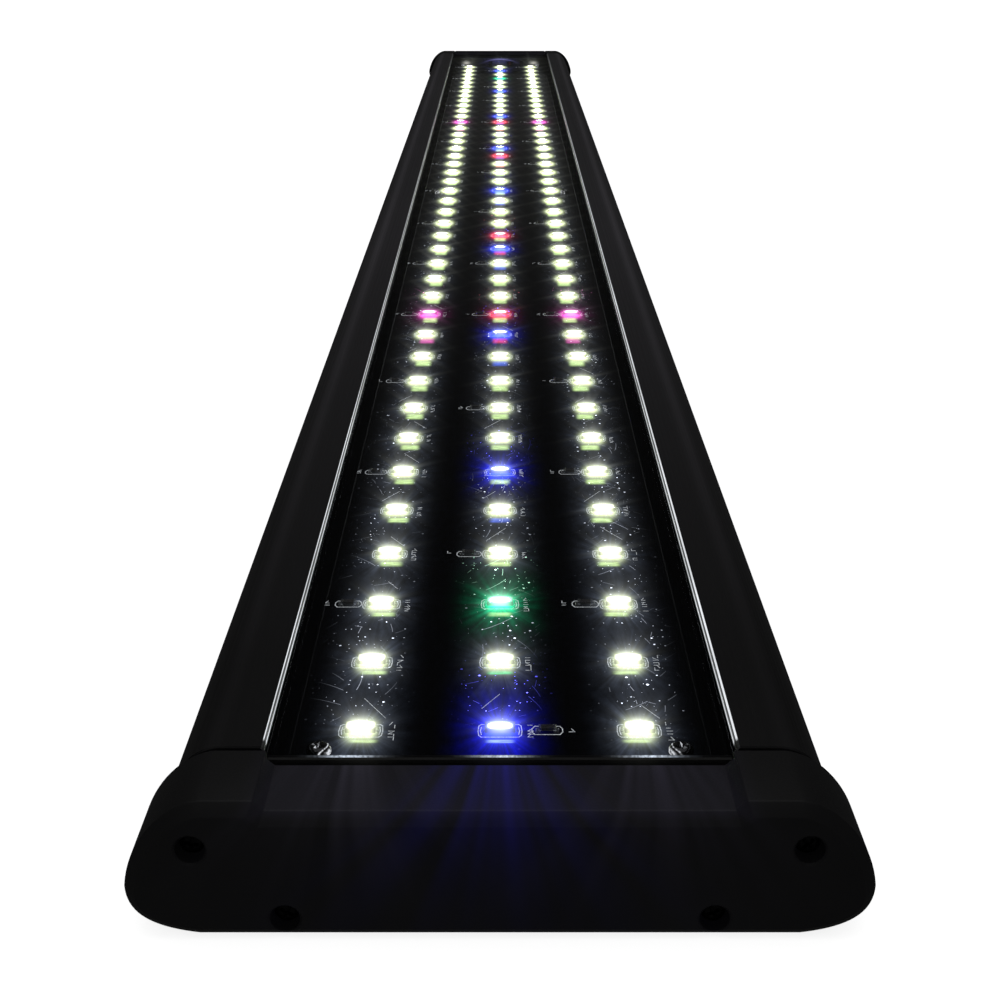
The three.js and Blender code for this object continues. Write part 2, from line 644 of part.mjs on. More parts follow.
for (const [name, side] of [["day", -1], ["moon", 1]]) {
  const x = SWITCH_X + side * TERMINAL_SPACING;
  addPart(
    light,
    `lead_${name}`,
    lead([
      [x + side * tabClear, tabY + 1.2, DEVICE_Z + 0.6],
      [x + side * (tabClear + 1), tabY - 0.6, DEVICE_Z + 2.4],
      [x + side, SEAM_Y + 0.4, onBoard + 0.3],
      [x + side, HOUSING_END - 2, onBoard],
      [x + side, padEnd, onBoard],
    ]),
    name === "day" ? "redLead" : "blackLead",
  );
}

export default light;
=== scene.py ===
"""The looks of the aquarium light: its visible pieces, their materials, the stage, the light and the camera.

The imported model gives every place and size. Sections, offsets and details are in millimetres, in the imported
model's own axes, and are turned into metres when a mesh is made.
"""
import json
import math

import bmesh
import bpy
import numpy as np
from mathutils import Matrix, Vector
from mathutils.geometry import tessellate_polygon


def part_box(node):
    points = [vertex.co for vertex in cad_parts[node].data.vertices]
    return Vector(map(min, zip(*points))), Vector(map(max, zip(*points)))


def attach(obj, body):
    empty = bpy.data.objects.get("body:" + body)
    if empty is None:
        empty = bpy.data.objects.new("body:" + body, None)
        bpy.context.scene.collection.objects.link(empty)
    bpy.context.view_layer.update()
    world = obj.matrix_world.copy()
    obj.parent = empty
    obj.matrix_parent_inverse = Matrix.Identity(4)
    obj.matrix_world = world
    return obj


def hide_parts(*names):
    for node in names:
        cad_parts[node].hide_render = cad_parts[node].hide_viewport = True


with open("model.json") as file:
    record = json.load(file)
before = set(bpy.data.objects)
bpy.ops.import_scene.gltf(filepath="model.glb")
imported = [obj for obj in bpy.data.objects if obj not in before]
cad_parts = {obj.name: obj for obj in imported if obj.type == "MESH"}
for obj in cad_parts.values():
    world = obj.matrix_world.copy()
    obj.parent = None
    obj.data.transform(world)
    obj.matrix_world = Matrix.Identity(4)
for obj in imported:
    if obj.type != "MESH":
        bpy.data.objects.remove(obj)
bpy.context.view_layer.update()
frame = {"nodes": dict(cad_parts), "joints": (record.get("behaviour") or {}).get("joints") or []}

MM = 0.001
scene = bpy.context.scene


def box_mm(node):
    """Lowest and highest corner of a CAD node, in millimetres."""
    return tuple(np.array(corner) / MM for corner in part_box(node))


def middle_mm(node):
    low, high = box_mm(node)
    return (low + high) / 2


# ---------------------------------------------------------------- camera
camera = bpy.data.objects.new("camera", bpy.data.cameras.new("camera"))
scene.collection.objects.link(camera)
camera.data.lens = 59.3
camera.data.clip_start = 0.01
camera.location = (0, -0.8301, 0.1574)
camera.rotation_euler = (math.radians(69.45), 0, 0)
scene.camera = camera

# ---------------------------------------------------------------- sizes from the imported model
HOUSING_LOW, HOUSING_HIGH = box_mm("housing_extrusion")
CAP_LOW, CAP_HIGH = box_mm("end_cap_far")
BOARD_LOW, BOARD_HIGH = box_mm("led_board")
COVER_LOW, COVER_HIGH = box_mm("clear_cover")
ROW_LOW, ROW_HIGH = box_mm("led_row_centre")
SIDE_ROW_X = middle_mm("led_row_right")[0]
LED_WIDTH = ROW_HIGH[0] - ROW_LOW[0]
PARTS_Z = ROW_LOW[2]
LED_TOP = ROW_HIGH[2]
END_Y = CAP_HIGH[1]
SEAM_Y = CAP_LOW[1]

# The section's fixed places, which the boxes do not give
WAIST_Z = 8.8
RIM_EDGE = 46.7
BACK_EDGE = 48
FOOT_PULL = (4, 1)
HEEL_RISE = 3.5
FLANK_PULL = (0.9, 8.2)
SHOULDER_PULL = (5.8, 0.6)
CURVE_STEPS = 18
SLOT_HALF = 39
GROOVE_HALF = 43
BAY_HALF = 41.3
FLOOR_Z = 12
LEDGE_Z = 18.7
LIP_Z = 22.3
LIP_CHAMFER = 0.5
RIB_PITCH = 5
RIB_COUNT = 15
RIB_GROOVE = (1.8, 1.1)

# End caps
PLATE_Z = 22.5
PLATE_HALF = 36.7
STEP_RUN = 1.8
PLATE_THICKNESS = 2.2
REBATE_HALF = 38.2
REBATE_RUN = 2.2
REBATE_DROP = 0.9
CAP_CHAMFER = 2
RAIL_BRIDGE = (2.2, 5.2)  # the far cap's two rails are joined between these distances from its outer face
CAP_SKIN = 2.4
RECESS_RADIUS = 2.4
RECESS_DEPTH = 4
BOSS_RADIUS = 3.4
BOSS_BORE = 1.6
PANEL_HALF = 25
PANEL_Z = (5, 19)
PANEL_DEPTH = 3
PANEL_SKIN = 2.2

# Emitters
ROW_LENGTH = 42
LED_LENGTH = 3
LED_PITCH = (ROW_HIGH[1] - ROW_LOW[1] - LED_LENGTH) / (ROW_LENGTH - 1)
RESISTOR_OFFSET = -7
SIDE_RESISTORS = (14, 2, 3)
MIDDLE_RESISTORS = (11, 3, 11 / 3)
GAP = 0.3


def led_y(index):
    return (index - (ROW_LENGTH - 1) / 2) * LED_PITCH


def lamp_kind(row, index):
    """The colour of one emitter. Row is -1, 0 or 1 and index runs from the near end."""
    if row:
        return "magenta" if index in (11, 29) else "white"
    if index in (11, 16, 24, 29):
        return "red"
    if index in (2, 38):
        return "green"
    return "blue" if index % 5 == 0 else "white"


LAMPS = {  # window, fringe right round it, and the pool further out
    "white": ((1.0, 1.0, 0.94), (0.88, 1.0, 0.50), (0.085, 0.105, 0.155)),
    "blue": ((0.80, 0.88, 1.0), (0.04, 0.10, 1.0), (0.006, 0.008, 1.0)),
    "green": ((0.80, 1.0, 0.90), (0.0, 0.85, 0.35), (0.0, 0.36, 0.15)),
    "red": ((1.0, 0.72, 0.80), (1.0, 0.04, 0.10), (0.35, 0.0, 0.02)),
    "magenta": ((1.0, 0.72, 0.95), (0.95, 0.08, 0.60), (0.28, 0.01, 0.18)),
}

# ---------------------------------------------------------------- outlines and lofts
FILLET_STEPS = 4


class Outline:
    """A closed outline in X and Z, walked anticlockwise as seen from the near end."""

    def __init__(self):
        self.points = []
        self.radii = []
        self.curved = []
        self.marks = []

    def to(self, x, z, radius=0.0, curved=False, mark=0):
        """Adds a point. curved and mark describe the stretch from this point to the next."""
        self.points.append((x, z))
        self.radii.append(radius)
        self.curved.append(curved)
        self.marks.append(mark)
        return self

    def bezier(self, pull_out, pull_in, end, steps=CURVE_STEPS):
        """A curve from the last point to end, which the next call adds."""
        start = np.array(self.points[-1], float)
        pull_out, pull_in, end = (np.array(p, float) for p in (pull_out, pull_in, end))
        self.curved[-1] = True
        for step in range(1, steps):
            t = step / steps
            s = 1 - t
            x, z = s**3 * start + 3 * s * s * t * pull_out + 3 * s * t * t * pull_in + t**3 * end
            self.to(x, z, curved=True)
        return self

    def ring(self, inset=0.0):
        """The outline moved inwards by inset, with its corners rounded: points, curved flags and marks."""
        base = np.array(self.points, float)
        before = base - np.roll(base, 1, axis=0)
        after = np.roll(base, -1, axis=0) - base
        before /= np.linalg.norm(before, axis=1)[:, None]
        after /= np.linalg.norm(after, axis=1)[:, None]
        left_before = np.stack([-before[:, 1], before[:, 0]], axis=1)
        left_after = np.stack([-after[:, 1], after[:, 0]], axis=1)
        bisector = left_before + left_after
        share = 1 + np.sum(left_before * left_after, axis=1)
        moved = base + inset * bisector / share[:, None]
        points, curved, marks = [], [], []
        for i, radius in enumerate(self.radii):
            if radius:
                arc = rounded_corner(moved[i], before[i], after[i], radius)
                points += arc
                curved += [True] * (len(arc) - 1) + [self.curved[i]]
                marks += [self.marks[i]] * len(arc)
            else:
                points.append(moved[i])
                curved.append(self.curved[i])
                marks.append(self.marks[i])
        return np.array(points), curved, marks


def rounded_corner(corner, before, after, radius, steps=FILLET_STEPS):
    """Points of an arc that joins two unit directions at a corner."""
    turn = math.acos(max(-1.0, min(1.0, float(np.dot(before, after)))))
    reach = radius * math.tan(turn / 2)
    side = 1 if before[0] * after[1] - before[1] * after[0] > 0 else -1
    start = corner - before * reach
    normal = np.array([-before[1], before[0]]) * side
    centre = start + normal * radius
    arc = []
    for step in range(steps + 1):
        angle = side * turn * step / steps
        spoke = -normal
        c, s = math.cos(angle), math.sin(angle)
        arc.append(centre + radius * np.array([spoke[0] * c - spoke[1] * s, spoke[0] * s + spoke[1] * c]))
    return arc


def path_with_fillets(points, radius, steps=FILLET_STEPS):
    """An open polyline with its inner corners rounded, and a flag for each stretch that is curved."""
    points = [np.array(p, float) for p in points]
    out, curved = [points[0]], []
    for i in range(1, len(points) - 1):
        before = points[i] - points[i - 1]
        after = points[i + 1] - points[i]
        before /= np.linalg.norm(before)
        after /= np.linalg.norm(after)
        arc = rounded_corner(points[i], before, after, radius, steps)
        out += arc
        curved += [False] + [True] * (len(arc) - 1)
    out.append(points[-1])
    curved.append(False)
    return out, curved


def circle(x, z, radius, sides):
    """An anticlockwise circle, as an outline's points."""
    return [
        (x + radius * math.cos(2 * math.pi * i / sides), z + radius * math.sin(2 * math.pi * i / sides))
        for i in range(sides)
    ]


class Solid:
    """A mesh in the making, in millimetres."""

    def __init__(self):
        self.vertices = []
        self.faces = []
        self.smooth = []
        self.marks = []

    def add_points(self, points):
        first = len(self.vertices)
        self.vertices += [tuple(map(float, p)) for p in points]
        return list(range(first, first + len(points)))

    def face(self, corners, smooth=False, mark=0):
        self.faces.append(tuple(corners))
        self.smooth.append(smooth)
        self.marks.append(mark)

    def bridge(self, ring_a, ring_b, smooth, marks=None):
        """Quads between two closed rings. smooth is one flag or one for each stretch."""
        count = len(ring_a)
        for i in range(count):
            j = (i + 1) % count
            flag = smooth[i] if isinstance(smooth, (list, tuple)) else smooth
            mark = marks[i] if marks else 0
            self.face((ring_a[i], ring_a[j], ring_b[j], ring_b[i]), flag, mark)

    def fill(self, ring, mark=0):
        points = [Vector(self.vertices[i]) for i in ring]
        for triangle in tessellate_polygon([points]):
            self.face([ring[i] for i in triangle], False, mark)

    def lathe(self, profile, place, sides=32, smooth=True):
        """A closed turned shape. The profile gives radius and height, and both ends lie on the axis."""
        rings = []
        for radius, height in profile:
            if radius < 1e-6:
                rings.append(self.add_points([place(0, 0, height)]))
            else:
                around = circle(0, 0, radius, sides)
                rings.append(self.add_points([place(x, y, height) for x, y in around]))
        for (low, high), (a, b) in zip(zip(rings, rings[1:]), zip(profile, profile[1:])):
            flat = abs(a[1] - b[1]) < 1e-6
            if len(low) == 1:
                for i in range(sides):
                    self.face((low[0], high[(i + 1) % sides], high[i]), smooth and not flat)
            elif len(high) == 1:
                for i in range(sides):
                    self.face((low[i], low[(i + 1) % sides], high[0]), smooth and not flat)
            else:
                self.bridge(low, high, smooth and not flat)

    def block(self, low, high, mark=0, bevel=0.0):
        """A box, with its upper edges bevelled when bevel is set."""
        (x0, y0, z0), (x1, y1, z1) = low, high

        def rectangle(inset, z):
            return self.add_points([
                (x0 + inset, y0 + inset, z), (x1 - inset, y0 + inset, z),
                (x1 - inset, y1 - inset, z), (x0 + inset, y1 - inset, z),
            ])

        bottom = rectangle(0, z0)
        shoulder = rectangle(0, z1 - bevel)
        self.face(bottom[::-1], False, mark)
        self.bridge(bottom, shoulder, False, [mark] * 4)
        if bevel:
            top = rectangle(bevel, z1)
            self.bridge(shoulder, top, False, [mark] * 4)
            shoulder = top
        self.face(shoulder, False, mark)

    def stroke(self, a, b, width, low, high, mark=0):
        """A thin raised line on the board between two points."""
        a, b = np.array(a, float), np.array(b, float)
        along = (b - a) / np.linalg.norm(b - a)
        across = np.array([-along[1], along[0]]) * width / 2
        a, b = a - along * width / 2, b + along * width / 2
        corners = [a - across, b - across, b + across, a + across]
        bottom = self.add_points([(x, y, low) for x, y in corners])
        top = self.add_points([(x, y, high) for x, y in corners])
        self.face(bottom[::-1], False, mark)
        self.bridge(bottom, top, False, [mark] * 4)
        self.face(top, False, mark)


def new_object(name, solid, materials):
    """The solid as a Blender object, in metres, with its faces pointing out."""
    mesh = bpy.data.meshes.new(name)
    mesh.from_pydata([tuple(c * MM for c in v) for v in solid.vertices], [], solid.faces)
    mesh.polygons.foreach_set("use_smooth", solid.smooth)
    mesh.polygons.foreach_set("material_index", solid.marks)
    for material in materials:
        mesh.materials.append(material)
    edit = bmesh.new()
    edit.from_mesh(mesh)
    bmesh.ops.recalc_face_normals(edit, faces=edit.faces)
    edit.to_mesh(mesh)
    edit.free()
    mesh.set_sharp_from_angle(angle=math.radians(35))
    obj = bpy.data.objects.new(name, mesh)
    scene.collection.objects.link(obj)
    return obj


def piece(name, solid, materials, body="housing", replaces=()):
    """A finished piece that rides on a body and may stand for CAD nodes."""
    obj = new_object(name, solid, materials) if isinstance(solid, Solid) else solid
    obj.name = name
    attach(obj, body)
    if replaces:
        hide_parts(*replaces)
    return obj


def carved(base, operations):
    """Applies a list of (operation, cutter) booleans to an object and removes the cutters."""
    for operation, cutter in operations:
        modifier = base.modifiers.new("cut", "BOOLEAN")
        modifier.operation = operation
        modifier.solver = "EXACT"
        modifier.object = cutter
    bpy.context.view_layer.update()
    graph = bpy.context.evaluated_depsgraph_get()
    mesh = bpy.data.meshes.new_from_object(base.evaluated_get(graph))
    base.modifiers.clear()
    old = base.data
    base.data = mesh
    bpy.data.meshes.remove(old)
    for _, cutter in operations:
        bpy.data.objects.remove(cutter)
    mesh.set_sharp_from_angle(angle=math.radians(35))
    return base


# ---------------------------------------------------------------- material helpers
class Graph:
    """Short ways to add and join the nodes of one material or group."""

    def __init__(self, tree):
        self.tree = tree

    def node(self, kind, inputs=None, **settings):
        node = self.tree.nodes.new("ShaderNode" + kind)
        for name, value in settings.items():
            setattr(node, name, value)
        for name, value in (inputs or {}).items():
            self.put(node.inputs[name], value)
        return node

    def put(self, socket, value):
        if isinstance(value, bpy.types.NodeSocket):
            self.tree.links.new(value, socket)
        elif value is not None:
            socket.default_value = value

    def math(self, operation, a, b=None, c=None, clamp=False):
        node = self.node("Math", {0: a, 1: b, 2: c}, operation=operation, use_clamp=clamp)
        return node.outputs[0]

    def vector(self, operation, a, b=None):
        node = self.node("VectorMath", {0: a, 1: b}, operation=operation)
        return node.outputs[0]

    def scaled(self, colour, factor):
        node = self.node("VectorMath", {0: colour, "Scale": factor}, operation="SCALE")
        return node.outputs[0]

    def mix(self, factor, a, b):
        node = self.node("Mix", data_type="RGBA")
        self.put(node.inputs[0], factor)
        self.put(node.inputs[6], a)
        self.put(node.inputs[7], b)
        return node.outputs[2]

    def between(self, value, from_low, from_high, to_low=0.0, to_high=1.0):
        inputs = {0: value, 1: from_low, 2: from_high, 3: to_low, 4: to_high}
        return self.node("MapRange", inputs).outputs[0]

    def noise(self, vector, scale, detail=2.0, roughness=0.5, dimensions="3D"):
        inputs = {"Scale": scale, "Detail": detail, "Roughness": roughness}
        node = self.node("TexNoise", inputs, noise_dimensions=dimensions)
        self.put(node.inputs["W" if dimensions == "1D" else "Vector"], vector)
        return node.outputs[0]

    def place(self, scale=(1, 1, 1)):
        """The point being shaded, in millimetres, stretched by scale."""
        coords = self.node("TexCoord").outputs["Object"]
        return self.vector("MULTIPLY", coords, tuple(s / MM for s in scale))


def surface(name):
    """A new material: its graph and its Principled shader."""
    material = bpy.data.materials.new(name)
    material.use_nodes = True
    graph = Graph(material.node_tree)
    shader = material.node_tree.nodes["Principled BSDF"]
    return material, graph, shader


def bumped(graph, shader, height, distance, strength=1.0):
    bump = graph.node("Bump", {"Height": height, "Distance": distance * MM, "Strength": strength})
    graph.put(shader.inputs["Normal"], bump.outputs[0])


# ---------------------------------------------------------------- light spread by the emitters
IMAGE_SHIFTS = (-1.145, -1.29)  # a second image lies this many emitters nearer than the emitter that it shows
IMAGE_HALF = 2.3
GLOW_STRETCH = 2.2  # the halos are drawn out along the bar, as they are seen from a low angle


def bell(graph, value, width):
    """A smooth bump that is 1 where value is 0 and falls off over width."""
    return graph.math("EXPONENT", graph.math("MULTIPLY", graph.math("POWER", graph.math("DIVIDE", value, width), 2), -1))


def kind_ramp(graph, index, row, which):
    """A colour ramp that steps through one row's emitters. which is 1 for the fringe and 2 for the pool."""
    node = graph.node("ValToRGB", {0: graph.math("DIVIDE", graph.math("ADD", index, 0.5), ROW_LENGTH)})
    ramp = node.color_ramp
    ramp.interpolation = "CONSTANT"
    kinds = [lamp_kind(row, i) for i in range(ROW_LENGTH)]
    starts = [i for i in range(ROW_LENGTH) if i == 0 or kinds[i] != kinds[i - 1]]
    for count, i in enumerate(starts):
        stop = ramp.elements[0] if count == 0 else ramp.elements.new(i / ROW_LENGTH)
        stop.position = i / ROW_LENGTH
        stop.color = (*LAMPS[kinds[i]][which], 1)
    ramp.elements.remove(ramp.elements[-1])
    return node.outputs[0]


def glow_group():
    """A node group: the emitters' light at a point on the board or the window.

    Fringe lies close round each emitter, Pool fans out from it in rays, Column is the broad light along a row, and
    Image is the second image of the next emitter, which board and window throw between them. Across and Along
    measure from the nearest emitter.
    """
    group = bpy.data.node_groups.new("emitter_glow", "ShaderNodeTree")
    for name in ("Fringe", "Pool", "Column", "Image"):
        group.interface.new_socket(name, in_out="OUTPUT", socket_type="NodeSocketColor")
    for name in ("Across", "Along"):
        group.interface.new_socket(name, in_out="OUTPUT", socket_type="NodeSocketFloat")
    graph = Graph(group)
    out = group.nodes.new("NodeGroupOutput")
    x, y, _ = graph.node("SeparateXYZ", {0: graph.place()}).outputs
    row = graph.between(graph.math("ROUND", graph.math("DIVIDE", x, SIDE_ROW_X)), -1, 1, -1, 1)
    across = graph.math("SUBTRACT", x, graph.math("MULTIPLY", row, SIDE_ROW_X))
    side = graph.math("ABSOLUTE", across)
    fade = graph.between(side, 7.5, 12.5, 1, 0)
    step = graph.math("ADD", graph.math("DIVIDE", y, LED_PITCH), (ROW_LENGTH - 1) / 2)
    nearest = graph.math("ROUND", step)
    in_middle = graph.math("LESS_THAN", graph.math("ABSOLUTE", row), 0.5)
    # a lower view shows more of the depth of a second image, and the side rows' images lean inwards
    image_reach = graph.math("ADD", graph.between(y, led_y(0), led_y(3), 0.55, 1.3),
                             graph.between(y, led_y(3), led_y(12), 0, 2.3))
    image_shift = graph.between(y, led_y(0), led_y(6), *IMAGE_SHIFTS)
    swell = graph.between(y, led_y(0), led_y(ROW_LENGTH - 1), 1, 1.15)
    fringe_width = graph.between(y, led_y(0), led_y(ROW_LENGTH // 2), 1.45, 2.3)
    pool_level = graph.between(y, led_y(0), led_y(12), 1, 0.6)
    image_side = graph.math("ABSOLUTE", graph.math("ADD", across, graph.math("MULTIPLY", row, 0.7)))
    totals = {}
    for offset in (-1, 0, 1, 2):
        index = graph.math("ADD", nearest, offset)
        inside = graph.math(
            "MULTIPLY",
            graph.math("GREATER_THAN", index, -0.5),
            graph.math("LESS_THAN", index, ROW_LENGTH - 0.5),
        )
        along = graph.math("MULTIPLY", graph.math("SUBTRACT", step, index), LED_PITCH / GLOW_STRETCH)
        # the distance is measured from a short bar rather than a point, as the emitters are oblong
        beyond = graph.math("MAXIMUM", graph.math("MULTIPLY", graph.math("SUBTRACT", side, 1.5), 1.2), 0)
        reach = graph.node("CombineXYZ", {0: beyond, 1: along}).outputs[0]
        distance = graph.node("VectorMath", {0: reach}, operation="LENGTH").outputs["Value"]
        distance = graph.math("DIVIDE", distance, swell)
        angle = graph.math("ARCTAN2", along, across)
        seed = graph.math("ADD", graph.math("MULTIPLY", index, 7.31), graph.math("MULTIPLY", row, 3.7))
        rays = graph.noise(graph.math("ADD", graph.math("MULTIPLY", angle, 3.2), seed), 1.2, 2.5, 0.6, "1D")
        rays = graph.between(rays, 0.36, 0.66, 0.55, 1.35)
        below = graph.math("SUBTRACT", graph.math("SUBTRACT", step, index), image_shift)
        off = graph.math("DIVIDE", graph.math("MULTIPLY", below, LED_PITCH), image_reach)
        image = graph.math("POWER", graph.math("ABSOLUTE", off), 4)
        image = graph.math("ADD", image, graph.math("POWER", graph.math("DIVIDE", image_side, IMAGE_HALF), 6))
        image = graph.math("EXPONENT", graph.math("MULTIPLY", image, -1))
        weights = {
            "Fringe": (bell(graph, distance, fringe_width), 1),
            "Pool": (graph.math("MULTIPLY", graph.math("EXPONENT", graph.math("DIVIDE", distance, -1.9)), rays), 2),
            "Column": (bell(graph, distance, 4.2), 2),
            "Image": (image, 1),
        }
        weights["Pool"] = (graph.math("MULTIPLY", weights["Pool"][0], pool_level), 2)
        for name, (weight, which) in weights.items():
            weight = graph.math("MULTIPLY", weight, graph.math("MULTIPLY", inside, fade))
            colour = graph.mix(in_middle, kind_ramp(graph, index, 1, which), kind_ramp(graph, index, 0, which))
            share = graph.scaled(colour, weight)
            totals[name] = graph.vector("ADD", totals[name], share) if name in totals else share
    totals["Across"] = across
    totals["Along"] = graph.math("MULTIPLY", graph.math("SUBTRACT", step, nearest), LED_PITCH)
    for name, total in totals.items():
        group.links.new(total, out.inputs[name])
    return group


GLOW = glow_group()


def glow(graph):
    node = graph.node("Group")
    node.node_tree = GLOW
    return node.outputs


# ---------------------------------------------------------------- materials
def anodised():
    """Black anodised extrusion: die lines along the bar, soft cloudiness and a little dust, with painted light: the
    base colour is lightened towards the far end and along the rim's outer edge.
    """
    material, graph, shader = surface("black_anodised")
    lines = graph.noise(graph.place((1.6, 0.002, 1.6)), 1.0, 4.0, 0.65)
    cloud = graph.noise(graph.place((0.02, 0.008, 0.02)), 1.0, 3.0)
    dust = graph.noise(graph.place(), 2.6, 2.0, 0.7)
    specks = graph.between(dust, 0.68, 0.78, 0, 0.35)
    base = graph.mix(cloud, (0.0050, 0.0047, 0.0054, 1), (0.0074, 0.0069, 0.0080, 1))
    x, y, _ = graph.node("SeparateXYZ", {0: graph.place()}).outputs
    # painted light: the base colour grows lighter towards the far end
    painted_lift = graph.between(y, -560, -180, 0.7, 4.6)
    # painted highlight: the base colour is lightened along the rim's outer edge
    painted_edge_highlight = bell(graph, graph.math("SUBTRACT", graph.math("ABSOLUTE", x), RIM_EDGE + 1.2), 1.6)
    painted_lift = graph.math("MULTIPLY", painted_lift, graph.math("ADD", graph.math("MULTIPLY", painted_edge_highlight, 0.9), 1))
    base = graph.scaled(base, painted_lift)
    graph.put(shader.inputs["Base Color"], graph.mix(specks, base, (0.022, 0.021, 0.022, 1)))
    graph.put(shader.inputs["Roughness"], graph.between(lines, 0.3, 0.7, 0.36, 0.5))
    shader.inputs["Metallic"].default_value = 0.15
    shader.inputs["Specular IOR Level"].default_value = 0.35
    bumped(graph, shader, lines, 0.03, 0.5)
    return material


def lit_edge():
    """The lips' cut edges, bare at the two corners, and lit by the emitters most strongly near the viewer's end."""
    material, graph, shader = surface("lip_edge")
    lines = graph.noise(graph.place((2.2, 0.01, 2.2)), 1.0, 3.0)
    along = graph.noise(graph.place((0.05, 0.02, 0.05)), 1.0, 3.0)
    x, y, z = graph.node("SeparateXYZ", {0: graph.place()}).outputs
    out = graph.math("SUBTRACT", graph.math("ABSOLUTE", x), SLOT_HALF)
    rim_line = graph.between(out, LIP_CHAMFER * 0.5, LIP_CHAMFER * 0.62, 0, 1)
    slot_line = bell(graph, graph.math("SUBTRACT", z, HOUSING_HIGH[2] - LIP_CHAMFER * 1.7), 0.3)
    bare = graph.math("MAXIMUM", rim_line, slot_line)
    graph.put(shader.inputs["Base Color"], graph.mix(bare, (0.004, 0.004, 0.0045, 1), (0.10, 0.10, 0.105, 1)))
    graph.put(shader.inputs["Roughness"], graph.between(lines, 0.3, 0.7, 0.28, 0.45))
    graph.put(shader.inputs["Metallic"], graph.math("MULTIPLY", bare, 0.8))
    # painted light: the emitters' light is painted as a glow on the bare lines, strongest near the viewer's end and
    # fading towards the far end
    shader.inputs["Emission Color"].default_value = (0.80, 0.83, 0.86, 1)
    level = graph.between(y, -HOUSING_HIGH[1], HOUSING_HIGH[1], 1.15, 0.08)
    level = graph.math("MULTIPLY", level, graph.between(along, 0.3, 0.7, 0.65, 1.15))
    ends = graph.between(graph.math("ABSOLUTE", y), HOUSING_HIGH[1] - 3.2, HOUSING_HIGH[1] - 2.2, 1, 0)
    level = graph.math("MULTIPLY", graph.math("MULTIPLY", level, ends), bare)
    graph.put(shader.inputs["Emission Strength"], level)
    bumped(graph, shader, lines, 0.02, 0.5)
    return material


def streaks(graph):
    """Light of the last emitters of each row, fanned out over a cap: a colour."""
    x, y, z = graph.node("SeparateXYZ", {0: graph.place()}).outputs
    last = led_y(ROW_LENGTH - 1)
    run = graph.math("MULTIPLY", graph.math("SUBTRACT", graph.math("ABSOLUTE", y), last), 0.354)
    drop = graph.math("MULTIPLY", graph.math("SUBTRACT", PLATE_Z, z), 0.935)
    reach = graph.math("MAXIMUM", graph.math("ADD", run, drop), 1)
    fall = graph.math("EXPONENT", graph.math("DIVIDE", reach, -6.5))
    total = None
    fans = ((-1, (0.040, 0.037, 0.055), 1.7), (0, (0.014, 0.012, 0.24), 4.1), (1, (0.026, 0.023, 0.038), 8.3))
    for row, colour, seed in fans:
        off = graph.math("SUBTRACT", x, row * SIDE_ROW_X)
        slope = graph.math("DIVIDE", off, reach)
        rays = graph.noise(graph.math("ADD", slope, seed), 2.3, 2.0, 0.55, "1D")
        rays = graph.between(rays, 0.38, 0.64, 0.15, 1.5)
        spread = bell(graph, slope, 0.8)
        share = graph.scaled(colour, graph.math("MULTIPLY", graph.math("MULTIPLY", spread, rays), fall))
        total = share if total is None else graph.vector("ADD", total, share)
    return graph.scaled(total, graph.math("LESS_THAN", y, 0))


def moulded():
    """Moulded black caps: fine spark texture, faint flow marks, painted light that spills from the window, and painted
    shade in the rebate against the window.
    """
    material, graph, shader = surface("black_moulded")
    grain = graph.noise(graph.place(), 3.4, 3.0, 0.6)
    flow = graph.noise(graph.place((0.05, 0.02, 0.05)), 1.0, 3.0)
    base = graph.mix(flow, (0.0026, 0.0025, 0.0030, 1), (0.0042, 0.0040, 0.0048, 1))
    x, y, z = graph.node("SeparateXYZ", {0: graph.place()}).outputs
    # painted shade: the rebate against the window is made near-black, with little gloss and none of the painted spill
    past_seam = graph.math("SUBTRACT", graph.math("ABSOLUTE", y), SEAM_Y + REBATE_RUN)
    rebate_shade = graph.math("MULTIPLY", graph.math("LESS_THAN", past_seam, -0.02),
                           graph.math("LESS_THAN", graph.math("ABSOLUTE", x), REBATE_HALF + 0.05))
    rebate_shade = graph.math("MULTIPLY", rebate_shade, graph.math("GREATER_THAN", z, PLATE_Z - PLATE_THICKNESS))
    graph.put(shader.inputs["Base Color"], graph.mix(rebate_shade, base, (0.0008, 0.0008, 0.001, 1)))
    graph.put(shader.inputs["Roughness"], graph.between(grain, 0.3, 0.7, 0.42, 0.56))
    graph.put(shader.inputs["Specular IOR Level"], graph.between(rebate_shade, 0, 1, 0.33, 0.05))
    bumped(graph, shader, grain, 0.02, 0.35)
    # painted light: a faint violet spill on the plate by the window, the emitters' streaks over the cap, and a faint
    # even painted glow
    plate = graph.between(z, PLATE_Z - 1.2, PLATE_Z - 0.2, 0, 1)
    plate = graph.math("MULTIPLY", plate, graph.between(graph.math("ABSOLUTE", x), 36, 41, 1, 0))
    painted_plate_spill = graph.scaled((0.0016, 0.0014, 0.0030), plate)
    light = graph.vector("ADD", graph.vector("ADD", streaks(graph), painted_plate_spill), (0.0006, 0.0006, 0.0006))
    graph.put(shader.inputs["Emission Color"], light)
    graph.put(shader.inputs["Emission Strength"], graph.math("SUBTRACT", 1, rebate_shade))
    return material


